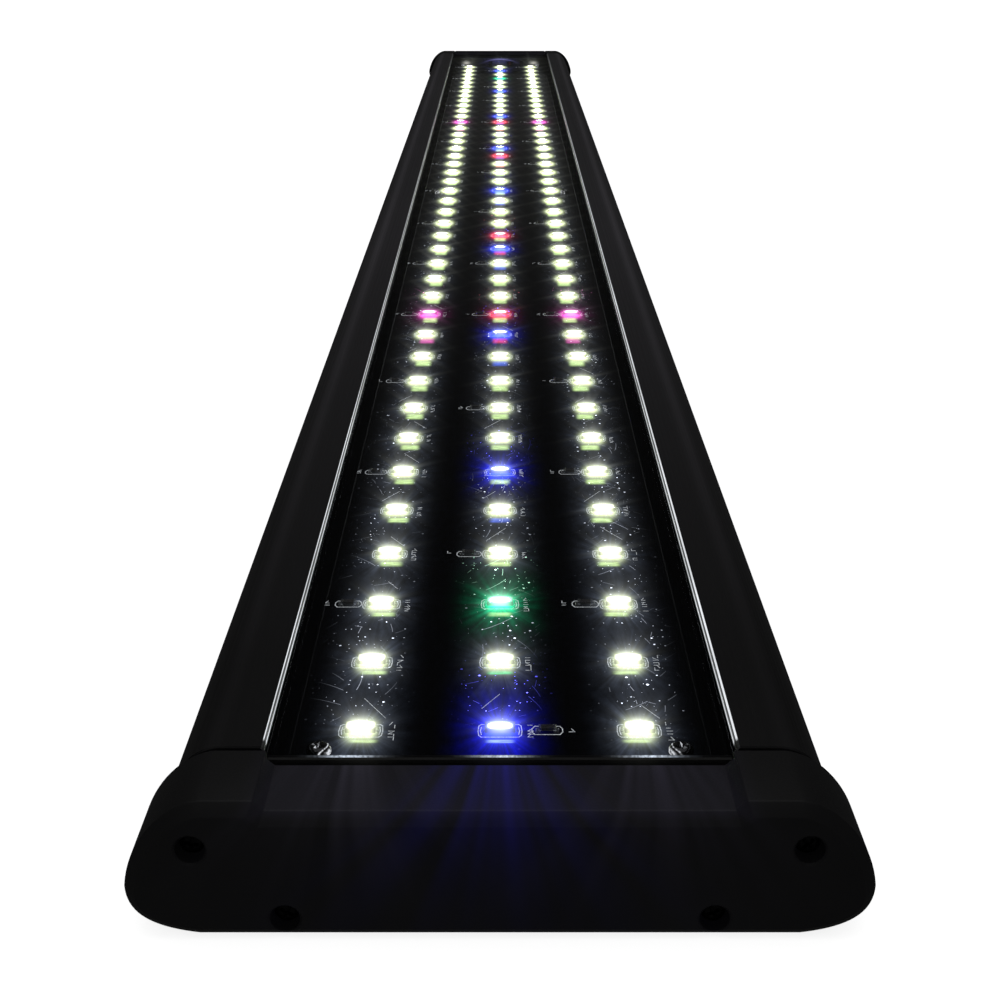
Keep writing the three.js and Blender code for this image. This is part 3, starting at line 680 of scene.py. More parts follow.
def wall_glints():
    """The bay's end walls: moulded black, with the last emitters' light caught as a pale arc and two spots."""
    material, graph, shader = surface("end_wall_black")
    grain = graph.noise(graph.place(), 3.0, 3.0, 0.6)
    graph.put(shader.inputs["Base Color"], graph.mix(grain, (0.004, 0.004, 0.005, 1), (0.009, 0.009, 0.011, 1)))
    graph.put(shader.inputs["Roughness"], graph.between(grain, 0.3, 0.7, 0.3, 0.45))
    x, y, z = graph.node("SeparateXYZ", {0: graph.place()}).outputs
    rise = graph.math("DIVIDE", graph.math("MULTIPLY", x, x), -75)
    off_arc = graph.math("SUBTRACT", z, graph.math("ADD", rise, COVER_LOW[2] - 1.0))
    arc = graph.math("MULTIPLY", bell(graph, off_arc, 0.5), bell(graph, x, 9))
    total = graph.scaled((0.16, 0.15, 0.42), arc)
    haze = graph.scaled((0.012, 0.010, 0.045), bell(graph, x, 12))
    total = graph.vector("ADD", total, haze)
    for row in (-1, 1):
        spot = graph.math("MULTIPLY", bell(graph, graph.math("SUBTRACT", x, row * (SIDE_ROW_X + 3)), 2.6),
                          bell(graph, graph.math("SUBTRACT", z, BOARD_HIGH[2] + 1.2), 1.3))
        total = graph.vector("ADD", total, graph.scaled((0.55, 0.53, 0.48), spot))
    graph.put(shader.inputs["Emission Color"], total)
    shader.inputs["Emission Strength"].default_value = 0.9
    return material


def rubber():
    material, graph, shader = surface("black_rubber")
    grain = graph.noise(graph.place(), 5.0, 3.0)
    graph.put(shader.inputs["Base Color"], graph.mix(grain, (0.003, 0.003, 0.003, 1), (0.008, 0.008, 0.008, 1)))
    graph.put(shader.inputs["Roughness"], graph.between(grain, 0.3, 0.7, 0.7, 0.9))
    bumped(graph, shader, grain, 0.03, 0.4)
    return material


def metal(name, dark, light, rough, bump_scale=6.0):
    """A plated or bare metal with fine tool marks."""
    material, graph, shader = surface(name)
    marks = graph.noise(graph.place(), bump_scale, 4.0, 0.6)
    patches = graph.noise(graph.place(), 0.5, 3.0)
    graph.put(shader.inputs["Base Color"], graph.mix(patches, (*dark, 1), (*light, 1)))
    graph.put(shader.inputs["Roughness"], graph.between(marks, 0.3, 0.7, rough * 0.8, rough * 1.3))
    shader.inputs["Metallic"].default_value = 1
    bumped(graph, shader, marks, 0.01, 0.4)
    return material, graph, shader


def solder():
    """Tinned pads and solder, with a painted glow of the emitters' light where an emitter is close."""
    material, graph, shader = metal("solder", (0.36, 0.37, 0.39), (0.58, 0.59, 0.6), 0.22, 2.0)
    fringe, pool = glow(graph)[:2]
    grain = graph.between(graph.noise(graph.place(), 2.5, 3.0), 0.35, 0.65, 0.4, 1.2)
    light = graph.vector("ADD", graph.scaled(fringe, 3.0), graph.scaled(pool, 4.0))
    graph.put(shader.inputs["Emission Color"], graph.scaled(light, grain))
    shader.inputs["Emission Strength"].default_value = 0.6
    return material


def screw_steel():
    """Blackened steel heads on the board, with the nearest row's light caught on the flanks that face it."""
    material, graph, shader = metal("blackened_steel", (0.03, 0.03, 0.033), (0.08, 0.08, 0.085), 0.12)
    geometry = graph.node("NewGeometry").outputs
    x = graph.node("SeparateXYZ", {0: graph.place()}).outputs[0]
    normal = graph.node("SeparateXYZ", {0: geometry["Normal"]}).outputs
    inward = graph.math("MULTIPLY", graph.math("MULTIPLY", graph.math("SIGN", x), -1), normal[0])
    facing = graph.math("SUBTRACT", graph.math("MULTIPLY", inward, 0.95), graph.math("MULTIPLY", normal[1], 0.3))
    patchy = graph.between(graph.noise(graph.place(), 1.6, 2.0), 0.4, 0.55, 0.15, 1)
    bands = None
    for middle, width in ((0.40, 0.06), (0.92, 0.14)):
        band = bell(graph, graph.math("SUBTRACT", facing, middle), width)
        bands = band if bands is None else graph.math("ADD", bands, band)
    shader.inputs["Emission Color"].default_value = (0.92, 0.94, 1.0, 1)
    graph.put(shader.inputs["Emission Strength"], graph.math("MULTIPLY", graph.math("MULTIPLY", bands, patchy), 0.9))
    return material


def plain_plastic(name, dark, light, rough):
    material, graph, shader = surface(name)
    grain = graph.noise(graph.place(), 4.0, 3.0, 0.6)
    cloud = graph.noise(graph.place(), 0.25, 3.0)
    graph.put(shader.inputs["Base Color"], graph.mix(cloud, (*dark, 1), (*light, 1)))
    graph.put(shader.inputs["Roughness"], graph.between(grain, 0.3, 0.7, rough * 0.85, rough * 1.15))
    bumped(graph, shader, grain, 0.012, 0.35)
    return material


def solder_mask():
    """Glossy black solder mask over faint copper, with the emitters' light pooled on it."""
    material, graph, shader = surface("black_board")
    weave = graph.noise(graph.place(), 1.6, 3.0)
    blotch = graph.noise(graph.place(), 0.12, 3.0)
    graph.put(shader.inputs["Base Color"], graph.mix(blotch, (0.0005, 0.0006, 0.0009, 1), (0.0012, 0.0013, 0.0018, 1)))
    graph.put(shader.inputs["Roughness"], graph.between(weave, 0.3, 0.7, 0.03, 0.05))
    shader.inputs["Specular IOR Level"].default_value = 0.01
    bumped(graph, shader, weave, 0.002, 0.2)
    fringe, pool, column, image = glow(graph)[:4]
    mottled = graph.between(graph.noise(graph.place((1, 0.5, 1)), 0.5, 3.0, 0.6), 0.35, 0.65, 0.6, 1.15)
    y = graph.node("SeparateXYZ", {0: graph.place()}).outputs[1]
    close_by = graph.scaled(fringe, graph.between(y, led_y(0), led_y(20), 2.8, 6.5))
    light = graph.vector("ADD", close_by, graph.scaled(pool, graph.math("MULTIPLY", mottled, 4.6)))
    streaky = graph.between(graph.noise(graph.place((0.4, 1.6, 1)), 1.0, 3.0), 0.35, 0.6, 0.6, 1.1)
    tint = graph.vector("MULTIPLY", image, (0.80, 1.0, 0.75))
    level = graph.math("MULTIPLY", streaky, graph.between(y, led_y(-1), led_y(4), 0.8, 1.7))
    light = graph.vector("ADD", light, graph.scaled(tint, level))
    graph.put(shader.inputs["Emission Color"], light)
    shader.inputs["Emission Strength"].default_value = 0.6
    return material


def scratches(graph, place, spacing, half_length, half_width, seed):
    """Straight short scratches, one in each cell of a loose grid, each with its own direction: an amount, 0 or 1."""
    moved = graph.vector("ADD", place, (seed, seed, 0))
    cells = graph.node("TexVoronoi", {"Vector": moved, "Scale": 1 / spacing}, voronoi_dimensions="2D")
    pick = graph.node("SeparateColor", {0: cells.outputs["Color"]}).outputs
    offset = graph.vector("SUBTRACT", moved, cells.outputs["Position"])
    angle = graph.between(pick[0], 0, 1, -1.2, 1.2)
    turned = graph.node("VectorRotate", {"Vector": offset, "Angle": angle}, rotation_type="Z_AXIS").outputs[0]
    x, y, _ = graph.node("SeparateXYZ", {0: turned}).outputs
    length = graph.math("MULTIPLY", graph.between(pick[1], 0, 1, 0.35, 1.0), half_length)
    inside = graph.math("LESS_THAN", graph.math("ABSOLUTE", y), length)
    bent = graph.math("ADD", x, graph.math("MULTIPLY", graph.math("MULTIPLY", y, y), 0.02))
    inside = graph.math("MULTIPLY", inside, graph.math("GREATER_THAN", pick[2], 0.6))
    return graph.math("MULTIPLY", graph.math("LESS_THAN", graph.math("ABSOLUTE", bent), half_width), inside)


def dust_and_scratches(graph):
    """Marks on the window, as an amount from 0 upwards: bright specks and short fine scratches."""
    place = graph.place()
    total = None
    for scale, largest, level in ((0.30, 0.075, 9), (0.6, 0.08, 4)):
        cells = graph.node("TexVoronoi", {"Vector": place, "Scale": scale}, voronoi_dimensions="2D")
        pick = graph.node("SeparateColor", {0: cells.outputs["Color"]}).outputs
        size = graph.between(pick[0], 0, 1, largest * 0.3, largest)
        size = graph.math("MULTIPLY", size, graph.math("GREATER_THAN", pick[1], 0.72))
        dots = graph.math("LESS_THAN", cells.outputs["Distance"], size)
        dots = graph.math("MULTIPLY", dots, level)
        total = dots if total is None else graph.math("ADD", total, dots)
    for spacing, half_length, half_width, seed in ((7, 3.2, 0.05, 3), (11, 4.5, 0.06, 31), (4.5, 1.4, 0.05, 77)):
        hair = scratches(graph, place, spacing, half_length, half_width, seed)
        total = graph.math("ADD", total, graph.math("MULTIPLY", hair, 1.1))
    y = graph.node("SeparateXYZ", {0: place}).outputs[1]
    return graph.math("MULTIPLY", total, graph.between(y, led_y(0), led_y(ROW_LENGTH - 12), 1, 0.15))


def clear_sheet(hazy):
    """The window. The hazy face also carries the scratches and dust that the emitters light up."""
    material, graph, shader = surface("clear_window_face" if hazy else "clear_window")
    tree = material.node_tree
    tree.nodes.remove(shader)
    out = tree.nodes["Material Output"]
    ripple = graph.noise(graph.place((0.03, 0.012, 0.03)), 1.0, 2.0)
    clear = graph.node("BsdfTransparent", {"Color": (0.985, 0.99, 0.99, 1)}).outputs[0]
    rough = graph.between(ripple, 0.3, 0.7, 0.015, 0.03)
    if not hazy:
        gloss = graph.node("BsdfGlossy", {"Color": (0.6, 0.62, 0.62, 1), "Roughness": rough}).outputs[0]
        mixed = graph.node("MixShader", {0: 0.01, 1: clear, 2: gloss}).outputs[0]
        graph.put(out.inputs["Surface"], mixed)
        return material
    gloss = graph.node("BsdfGlossy", {"Color": (1, 1, 1, 1), "Roughness": rough}).outputs[0]
    # Schlick's curve on the facing angle, for light from above only: the board carries the images from below
    facing = graph.node("LayerWeight", {"Blend": 0.5}).outputs["Facing"]
    reflectance = graph.math("ADD", graph.math("MULTIPLY", graph.math("POWER", facing, 5), 0.9), 0.045)
    from_above = graph.math("SUBTRACT", 1, graph.node("NewGeometry").outputs["Backfacing"])
    reflectance = graph.math("MULTIPLY", reflectance, graph.math("MULTIPLY", from_above, 0.22))
    mixed = graph.node("MixShader", {0: reflectance, 1: clear, 2: gloss}).outputs[0]
    fringe, pool, column, image = glow(graph)[:4]
    marks = graph.math("ADD", dust_and_scratches(graph), 0.02)
    whiter = graph.math("MULTIPLY", graph.node("RGBToBW", {0: column}).outputs[0], 1.6)
    lit_by = graph.vector("ADD", column, graph.scaled((1, 1, 1), whiter))
    haze = graph.node("Emission", {"Color": graph.scaled(lit_by, marks), "Strength": 1.6}).outputs[0]
    graph.put(out.inputs["Surface"], graph.node("AddShader", {0: mixed, 1: haze}).outputs[0])
    return material


def window_edge():
    """The clear sheet's cut ends, which carry light out under each row."""
    material, graph, shader = surface("clear_window_edge")
    x, y, z = graph.node("SeparateXYZ", {0: graph.place()}).outputs
    row = graph.between(graph.math("ROUND", graph.math("DIVIDE", x, SIDE_ROW_X)), -1, 1, -1, 1)
    off = graph.math("SUBTRACT", x, graph.math("MULTIPLY", row, SIDE_ROW_X))
    sparkle = graph.between(graph.noise(graph.place(), 1.7, 3.0), 0.35, 0.65, 0.5, 1.4)
    graph.put(shader.inputs["Base Color"], graph.mix(sparkle, (0.002, 0.002, 0.0025, 1), (0.004, 0.004, 0.0045, 1)))
    graph.put(shader.inputs["Roughness"], graph.between(sparkle, 0.5, 1.4, 0.5, 0.7))
    shader.inputs["Specular IOR Level"].default_value = 0.1
    shader.inputs["Emission Color"].default_value = (0.75, 0.85, 1.0, 1)
    upper = bell(graph, graph.math("SUBTRACT", z, COVER_HIGH[2] - 0.2), 0.3)
    level = graph.math("MULTIPLY", bell(graph, off, 3.6), graph.math("MULTIPLY", sparkle, 0.75))
    level = graph.math("MULTIPLY", level, upper)
    level = graph.math("MULTIPLY", level, graph.between(y, COVER_LOW[1], COVER_HIGH[1], 1, 0.02))
    graph.put(shader.inputs["Emission Strength"], level)
    return material


def core(graph, half_x, half_y, steepness):
    """A rounded oblong spot over the nearest emitter: 1 in its middle, falling off past half_x and half_y."""
    _, _, _, _, across, along = glow(graph)
    total = None
    for distance, half in ((across, half_x), (along, half_y)):
        term = graph.math("POWER", graph.math("ABSOLUTE", graph.math("DIVIDE", distance, half)), 3)
        total = term if total is None else graph.math("ADD", total, term)
    return graph.math("EXPONENT", graph.math("MULTIPLY", total, -steepness))


def emitting(kind):
    """One colour of emitter window: very bright in its rounded middle, its own colour towards the corners."""
    material, graph, shader = surface(f"emitter_{kind}")
    window, fringe, _ = LAMPS[kind]
    grain = graph.noise(graph.place(), 6.0, 2.0)
    graph.put(shader.inputs["Base Color"], graph.mix(grain, (*fringe, 1), (*window, 1)))
    shader.inputs["Roughness"].default_value = 0.4
    middle = core(graph, 2.2, 1.2, 4.1)
    whiteness = graph.math("MULTIPLY", graph.between(middle, 0, 0.04), graph.between(grain, 0.3, 0.7, 0.75, 1))
    graph.put(shader.inputs["Emission Color"], graph.mix(whiteness, (*fringe, 1), (*window, 1)))
    graph.put(shader.inputs["Emission Strength"], graph.math("ADD", graph.math("MULTIPLY", middle, 60), 0.9))
    material.cycles.emission_sampling = "NONE"
    return material


def emitter_body():
    """White resin round an emitter's window, flooded by its light."""
    material, graph, shader = surface("emitter_body")
    grain = graph.noise(graph.place(), 5.0, 3.0)
    graph.put(shader.inputs["Base Color"], graph.mix(grain, (0.10, 0.10, 0.095, 1), (0.16, 0.16, 0.15, 1)))
    graph.put(shader.inputs["Roughness"], graph.between(grain, 0.3, 0.7, 0.35, 0.5))
    fringe = glow(graph)[0]
    flood = core(graph, 2.6, 1.5, 1.3)
    paleness = graph.node("RGBToBW", {0: fringe}).outputs[0]
    white = graph.scaled((1, 1, 1), graph.math("MULTIPLY", flood, paleness))
    graph.put(shader.inputs["Emission Color"], graph.vector("ADD", fringe, graph.scaled(white, 2.2)))
    graph.put(shader.inputs["Emission Strength"], graph.math("ADD", graph.math("MULTIPLY", flood, 2.4), 0.5))
    return material


def print_ink():
    """White board printing, lit by the emitter that it surrounds."""
    material, graph, shader = surface("white_print")
    grain = graph.noise(graph.place(), 2.4, 3.0, 0.7)
    graph.put(shader.inputs["Base Color"], graph.mix(grain, (0.20, 0.21, 0.22, 1), (0.38, 0.39, 0.40, 1)))
    shader.inputs["Roughness"].default_value = 0.6
    fringe, pool, column, image = glow(graph)[:4]
    patchy = graph.between(grain, 0.35, 0.65, 0.35, 1.3)
    light = graph.vector("ADD", graph.scaled(pool, 4.0), graph.scaled(fringe, 2.0))
    # a faint even painted glow over all the print, on top of the emitters' painted light
    light = graph.vector("ADD", light, (0.40, 0.42, 0.44))
    graph.put(shader.inputs["Emission Color"], light)
    graph.put(shader.inputs["Emission Strength"], graph.math("MULTIPLY", patchy, 0.8))
    return material


MATERIALS = {
    "anodised": anodised(),
    "lit_edge": lit_edge(),
    "moulded": moulded(),
    "rubber": rubber(),
    "end_wall": wall_glints(),
    "steel": screw_steel(),
    "dark_steel": metal("black_steel", (0.02, 0.02, 0.021), (0.05, 0.05, 0.052), 0.32)[0],
    "nickel": metal("nickel_plate", (0.45, 0.43, 0.38), (0.66, 0.63, 0.57), 0.25)[0],
    "solder": solder(),
    "switch": plain_plastic("switch_black", (0.0045, 0.0045, 0.005), (0.009, 0.009, 0.0095), 0.3),
    "mark": plain_plastic("mark_white", (0.55, 0.55, 0.53), (0.75, 0.75, 0.73), 0.5),
    "chip": plain_plastic("resistor_black", (0.006, 0.006, 0.008), (0.016, 0.016, 0.02), 0.3),
    "pad": plain_plastic("thermal_grey", (0.28, 0.31, 0.35), (0.40, 0.43, 0.47), 0.85),
    "red_lead": plain_plastic("red_insulation", (0.10, 0.004, 0.004), (0.15, 0.006, 0.006), 0.42),
    "black_lead": plain_plastic("black_insulation", (0.006, 0.006, 0.006), (0.014, 0.014, 0.014), 0.42),
    "board": solder_mask(),
    "window_face": clear_sheet(True),
    "window": clear_sheet(False),
    "window_edge": window_edge(),
    "emitter_body": emitter_body(),
    "print": print_ink(),
}
for lamp in LAMPS:
    MATERIALS["lamp_" + lamp] = emitting(lamp)


# ---------------------------------------------------------------- housing and end caps
def side_up(outline, half, top, back, mark=0):
    """The right-hand side from the back's edge to the rim's edge."""
    outline.to(BACK_EDGE, back, mark=mark)
    outline.bezier((half - FOOT_PULL[0], back + FOOT_PULL[1]), (half, back + HEEL_RISE), (half, WAIST_Z))
    outline.to(half, WAIST_Z, curved=True)
    outline.bezier(
        (half - FLANK_PULL[0], WAIST_Z + FLANK_PULL[1]),
        (RIM_EDGE + SHOULDER_PULL[0], top - SHOULDER_PULL[1]),
        (RIM_EDGE, top),
    )
    outline.to(RIM_EDGE, top)
    return outline


def side_down(outline, half, top, back):
    """The left-hand side from the rim's edge to the back's edge, which the outline started with."""
    outline.to(-RIM_EDGE, top)
    outline.bezier(
        (-RIM_EDGE - SHOULDER_PULL[0], top - SHOULDER_PULL[1]),
        (FLANK_PULL[0] - half, WAIST_Z + FLANK_PULL[1]),
        (-half, WAIST_Z),
    )
    outline.to(-half, WAIST_Z, curved=True)
    outline.bezier((-half, back + HEEL_RISE), (FOOT_PULL[0] - half, back + FOOT_PULL[1]), (-BACK_EDGE, back))
    return outline


def housing_outline():
    half, top, back = HOUSING_HIGH[0], HOUSING_HIGH[2], HOUSING_LOW[2]
    width, depth = RIB_GROOVE
    outline = Outline().to(-BACK_EDGE, back)
    for rib in range(RIB_COUNT):
        x = (rib - (RIB_COUNT - 1) / 2) * RIB_PITCH
        outline.to(x - width / 2, back, 0.25)
        outline.to(x - width / 2, back + depth, 0.3)
        outline.to(x + width / 2, back + depth, 0.3)
        outline.to(x + width / 2, back, 0.25)
    side_up(outline, half, top, back)
    channel = [
        (SLOT_HALF + LIP_CHAMFER, top, 0.2, 1),
        (SLOT_HALF, top - LIP_CHAMFER, 0.2, 1),
        (SLOT_HALF, LIP_Z, 0.25, 0),
        (GROOVE_HALF, LIP_Z, 0.1, 0),
        (GROOVE_HALF, LEDGE_Z, 0.1, 0),
        (BAY_HALF, LEDGE_Z, 0.05, 0),
        (BAY_HALF, FLOOR_Z, 0.3, 0),
    ]
    for x, z, radius, mark in channel:
        outline.to(x, z, radius, mark=mark)
    # on the way back a stretch's mark belongs to the point where it starts
    for (x, z, radius, _), (_, _, _, mark) in zip(channel[::-1], channel[-2::-1] + [(0, 0, 0, 0)]):
        outline.to(-x, z, radius, mark=mark)
    return side_down(outline, half, top, back)


def housing():
    solid = Solid()
    outline = housing_outline()
    end = HOUSING_HIGH[1]
    saw_bevel = 0.25
    rings = []
    for y, inset in ((-end, saw_bevel), (saw_bevel - end, 0), (end - saw_bevel, 0), (end, saw_bevel)):
        points, curved, marks = outline.ring(inset)
        rings.append(solid.add_points([(x, y, z) for x, z in points]))
    for a, b in zip(rings, rings[1:]):
        solid.bridge(a, b, curved, marks)
    solid.fill(rings[0])
    solid.fill(rings[-1])
    return piece(
        "housing_shell", solid, [MATERIALS["anodised"], MATERIALS["lit_edge"]],
        replaces=["housing_extrusion"],
    )


def section_solid(half, top, back, low, high):
    """A plain length of the rounded section, for cutting the caps hollow."""
    outline = side_up(Outline().to(-BACK_EDGE, back), half, top, back)
    points, curved, _ = side_down(outline, half, top, back).ring()
    solid = Solid()
    rings = [solid.add_points([(x, y, z) for x, z in points]) for y in (low, high)]
    solid.bridge(*rings, curved)
    for ring in rings:
        solid.fill(ring)
    return solid


def along_y(x, z):
    """Places a turned shape on an axis along Y: its height is measured towards the cap's outer face."""
    return lambda u, v, height: (x + u, height, z + v)


def bar(x, z, radius, low, high, sides=40):
    solid = Solid()
    solid.lathe([(0, low), (radius, low), (radius, high), (0, high)], along_y(x, z), sides)
    return solid


def recess_cutter(x, z):
    """A screw recess with a flared mouth and the bore behind it."""
    flare = 0.35
    face = END_Y
    solid = Solid()
    profile = [
        (0, SEAM_Y - 1), (BOSS_BORE, SEAM_Y - 1), (BOSS_BORE, face - RECESS_DEPTH),
        (RECESS_RADIUS, face - RECESS_DEPTH), (RECESS_RADIUS, face - flare),
        (RECESS_RADIUS + flare + 0.5, face + 0.5), (0, face + 0.5),
    ]
    solid.lathe(profile, along_y(x, z), 48)
    return solid


def rounded_box(low, high, radius, flare=0.0):
    """A box along Y with rounded edges in X and Z. flare widens its high end by a small slope."""
    outline = Outline()
    for x, z in ((low[0], low[2]), (high[0], low[2]), (high[0], high[2]), (low[0], high[2])):
        outline.to(x, z, radius)
    levels = [(low[1], 0.0), (high[1], 0.0)]
    if flare:
        levels = [(low[1], 0.0), (END_Y - flare, 0.0), (END_Y + 0.5, -flare - 0.5)]
    solid = Solid()
    rings = []
    for y, inset in levels:
        points, curved, _ = outline.ring(inset)
        rings.append(solid.add_points([(x, y, z) for x, z in points]))
    for a, b in zip(rings, rings[1:]):
        solid.bridge(a, b, curved)
    solid.fill(rings[0])
    solid.fill(rings[-1])
    return solid


def cap_outer():
    """The cap as a full block: rounded section, chamfered outer face."""
    half, top, back = CAP_HIGH[0], CAP_HIGH[2], CAP_LOW[2]
    step_top = PLATE_HALF + STEP_RUN
    outline = side_up(Outline().to(-BACK_EDGE, back), half, top, back)
    outline.to(step_top, top, 0.5)
    outline.to(PLATE_HALF, PLATE_Z, 0.5)
    outline.to(-PLATE_HALF, PLATE_Z, 0.5)
    outline.to(-step_top, top, 0.5)
    side_down(outline, half, top, back)
    seam_edge = 0.25
    profile, bends = path_with_fillets(
        [(seam_edge, SEAM_Y), (0, SEAM_Y + seam_edge), (0, END_Y - CAP_CHAMFER), (CAP_CHAMFER, END_Y),
         (CAP_CHAMFER + 1, END_Y)],
        0.6,
    )
    profile, bends = profile[:-1], bends[:-1]
    solid = Solid()
    rings = []
    for inset, y in profile:
        points, curved, _ = outline.ring(inset)
        rings.append(solid.add_points([(x, y, z) for x, z in points]))
    for a, b, bend in zip(rings, rings[1:], bends):
        solid.bridge(a, b, [bend or flag for flag in curved])
    solid.fill(rings[0])
    solid.fill(rings[-1])
    return solid


def end_cap(name, node, with_panel):
    """An end cap, built at the far end. The near one is the same shape turned half round."""
    half, top, back = CAP_HIGH[0], CAP_HIGH[2], CAP_LOW[2]
    screws = [middle_mm(f"cap_screw_far_{i}")[[0, 2]] for i in (1, 2, 3, 4)]
    inner_face = END_Y - CAP_SKIN
    roof = PLATE_Z - PLATE_THICKNESS
    pocket = new_object(
        "pocket", section_solid(half - CAP_SKIN, roof, back + CAP_SKIN, SEAM_Y - 1, inner_face), [])
    kept = [("DIFFERENCE", new_object("boss", bar(x, z, BOSS_RADIUS, SEAM_Y - 2, END_Y), []))
            for x, z in screws]
    cuts = [("DIFFERENCE", new_object("recess", recess_cutter(x, z), [])) for x, z in screws]
    rebate = Solid()
    rebate.block((-REBATE_HALF, SEAM_Y - 1, PLATE_Z - REBATE_DROP), (REBATE_HALF, SEAM_Y + REBATE_RUN, CAP_HIGH[2] + 1))
    cuts.append(("DIFFERENCE", new_object("rebate", rebate, [])))
    if with_panel:
        across = PANEL_HALF + PANEL_SKIN
        panel_y = END_Y - PANEL_DEPTH
        low, high = PANEL_Z
        backing = rounded_box((-across, panel_y - PANEL_SKIN, low - PANEL_SKIN), (across, END_Y, high + 1.1), 1)
        kept.append(("DIFFERENCE", new_object("backing", backing, [])))
        recess = rounded_box((-PANEL_HALF, panel_y, low), (PANEL_HALF, END_Y + 1, high), 2, flare=0.35)
        cuts.append(("DIFFERENCE", new_object("panel", recess, [])))
        jack = middle_mm("dc_jack_body")
        cuts.append(("DIFFERENCE", new_object("jack_hole", bar(jack[0], jack[2], 4.3, SEAM_Y - 1, END_Y), [])))
        switch = middle_mm("switch_body")
        can = rounded_box((switch[0] - 7.1, SEAM_Y - 1, switch[2] - 4.6), (switch[0] + 7.1, END_Y, switch[2] + 4.6), 0.5)
        cuts.append(("DIFFERENCE", new_object("can_hole", can, [])))
    pocket = carved(pocket, kept)
    cap = new_object(name, cap_outer(), [])
    if with_panel:
        bridge = Solid()
        bridge.block((-PLATE_HALF - 1, END_Y - RAIL_BRIDGE[1], PLATE_Z - 1),
                     (PLATE_HALF + 1, END_Y - RAIL_BRIDGE[0], CAP_HIGH[2] - 0.02), 0, 0.4)
        cuts.insert(0, ("UNION", new_object("rail_bridge", bridge, [])))
    cap = carved(cap, [("DIFFERENCE", pocket)] + cuts)
    cap.data.materials.clear()
    cap.data.materials.append(MATERIALS["moulded"])
    cap.data.polygons.foreach_set("material_index", [0] * len(cap.data.polygons))
    if node == "end_cap_near":
        cap.data.transform(Matrix.Rotation(math.pi, 4, "Z"))
    return piece(name, cap, None, replaces=[node])


# ---------------------------------------------------------------- board, window and what is on the board
def board_solid():
    """The board: a thin sheet."""
    solid = Solid()
    low, high = BOARD_LOW, BOARD_HIGH
    solid.block(low, high)
    return solid


def emitter_row(row):
    """The emitters of one row: resin body with a rounded window, terminals and solder."""
    solid = Solid()
    kinds = list(LAMPS)
    centre_x = row * SIDE_ROW_X
    window_half = (LED_WIDTH / 2 - 0.5, LED_LENGTH / 2 - 0.33)
    for index in range(ROW_LENGTH):
        y = led_y(index)
        mark = 1 + kinds.index(lamp_kind(row, index))

        def oval(half_x, half_y, z, cut=0.3, bow=0.0):
            """An eight-sided ring: a rectangle with cut corners. bow is not used."""
            points = []
            for sx, sy in ((1, -1), (1, 1), (-1, 1), (-1, -1)):
                a = (sx * half_x, sy * (half_y - cut))
                b = (sx * (half_x - cut), sy * half_y)
                points += [b, a] if sx * sy < 0 else [a, b]
            return solid.add_points([(centre_x + px, y + py, z) for px, py in points])

        half_x, half_y = LED_WIDTH / 2, LED_LENGTH / 2
        foot = oval(half_x - 0.12, half_y, PARTS_Z, 0.1)
        shoulder = oval(half_x - 0.12, half_y, LED_TOP - 0.12, 0.1)
        crown = oval(half_x - 0.22, half_y - 0.1, LED_TOP, 0.1)
        mouth = oval(window_half[0] + 0.1, window_half[1] + 0.08, LED_TOP, 0.42)
        rim = oval(*window_half, LED_TOP - 0.14, 0.4)
        dome = oval(window_half[0] * 0.6, window_half[1] * 0.55, LED_TOP - 0.05, 0.25)
        solid.face(foot[::-1])
        solid.bridge(foot, shoulder, False)
        solid.bridge(shoulder, crown, False)
        solid.bridge(crown, mouth, False)
        solid.bridge(mouth, rim, False)
        solid.bridge(rim, dome, True, [mark] * 8)
        solid.face(dome, True, mark)
        metal_mark = 1 + len(kinds)
        for side in (-1, 1):
            outer = centre_x + side * (half_x + 0.45)
            inner = centre_x + side * (half_x - 0.5)
            low_x, high_x = min(outer, inner), max(outer, inner)
            solid.block((low_x, y - 1.05, BOARD_HIGH[2] + 0.02), (high_x, y + 1.05, PARTS_Z - 0.03), metal_mark, 0.08)
    materials = [MATERIALS["emitter_body"], *(MATERIALS["lamp_" + k] for k in kinds), MATERIALS["solder"]]
    name = {-1: "left", 0: "centre", 1: "right"}[row]
    obj = piece(f"emitters_{name}", solid, materials, replaces=[f"led_row_{name}"])
    obj.visible_diffuse = False
    return obj


def resistor_places(row):
    count, first, every = SIDE_RESISTORS if row else MIDDLE_RESISTORS
    x = row * SIDE_ROW_X + RESISTOR_OFFSET
    return [(x, led_y(math.ceil(first + every * i))) for i in range(count)]


def resistor(solid, x, y):
    """A chip resistor: ceramic body, two plated ends and their solder."""
    half_x, half_y = 1.6, 0.8
    z = PARTS_Z
    solid.block((x - half_x + 0.5, y - half_y + 0.02, z), (x + half_x - 0.5, y + half_y - 0.02, z + 0.56), 0, 0.05)
    for side in (-1, 1):
        low_x, high_x = sorted((x + side * half_x, x + side * (half_x - 0.5)))
        solid.block((low_x, y - half_y, z), (high_x, y + half_y, z + 0.6), 1, 0.06)
        low_x, high_x = sorted((x + side * (half_x + 0.55), x + side * (half_x - 0.45)))
        foot = solid.add_points([(low_x, y - half_y, BOARD_HIGH[2] + 0.02), (high_x, y - half_y, BOARD_HIGH[2] + 0.02),
                                 (high_x, y + half_y, BOARD_HIGH[2] + 0.02), (low_x, y + half_y, BOARD_HIGH[2] + 0.02)])
        edge = 0.18
        top = solid.add_points([(low_x + edge, y - half_y + edge, z - 0.03), (high_x - edge, y - half_y + edge, z - 0.03),
                                (high_x - edge, y + half_y - edge, z - 0.03), (low_x + edge, y + half_y - edge, z - 0.03)])
        solid.face(foot[::-1], False, 1)
        solid.bridge(foot, top, False, [1] * 4)
        solid.face(top, False, 1)


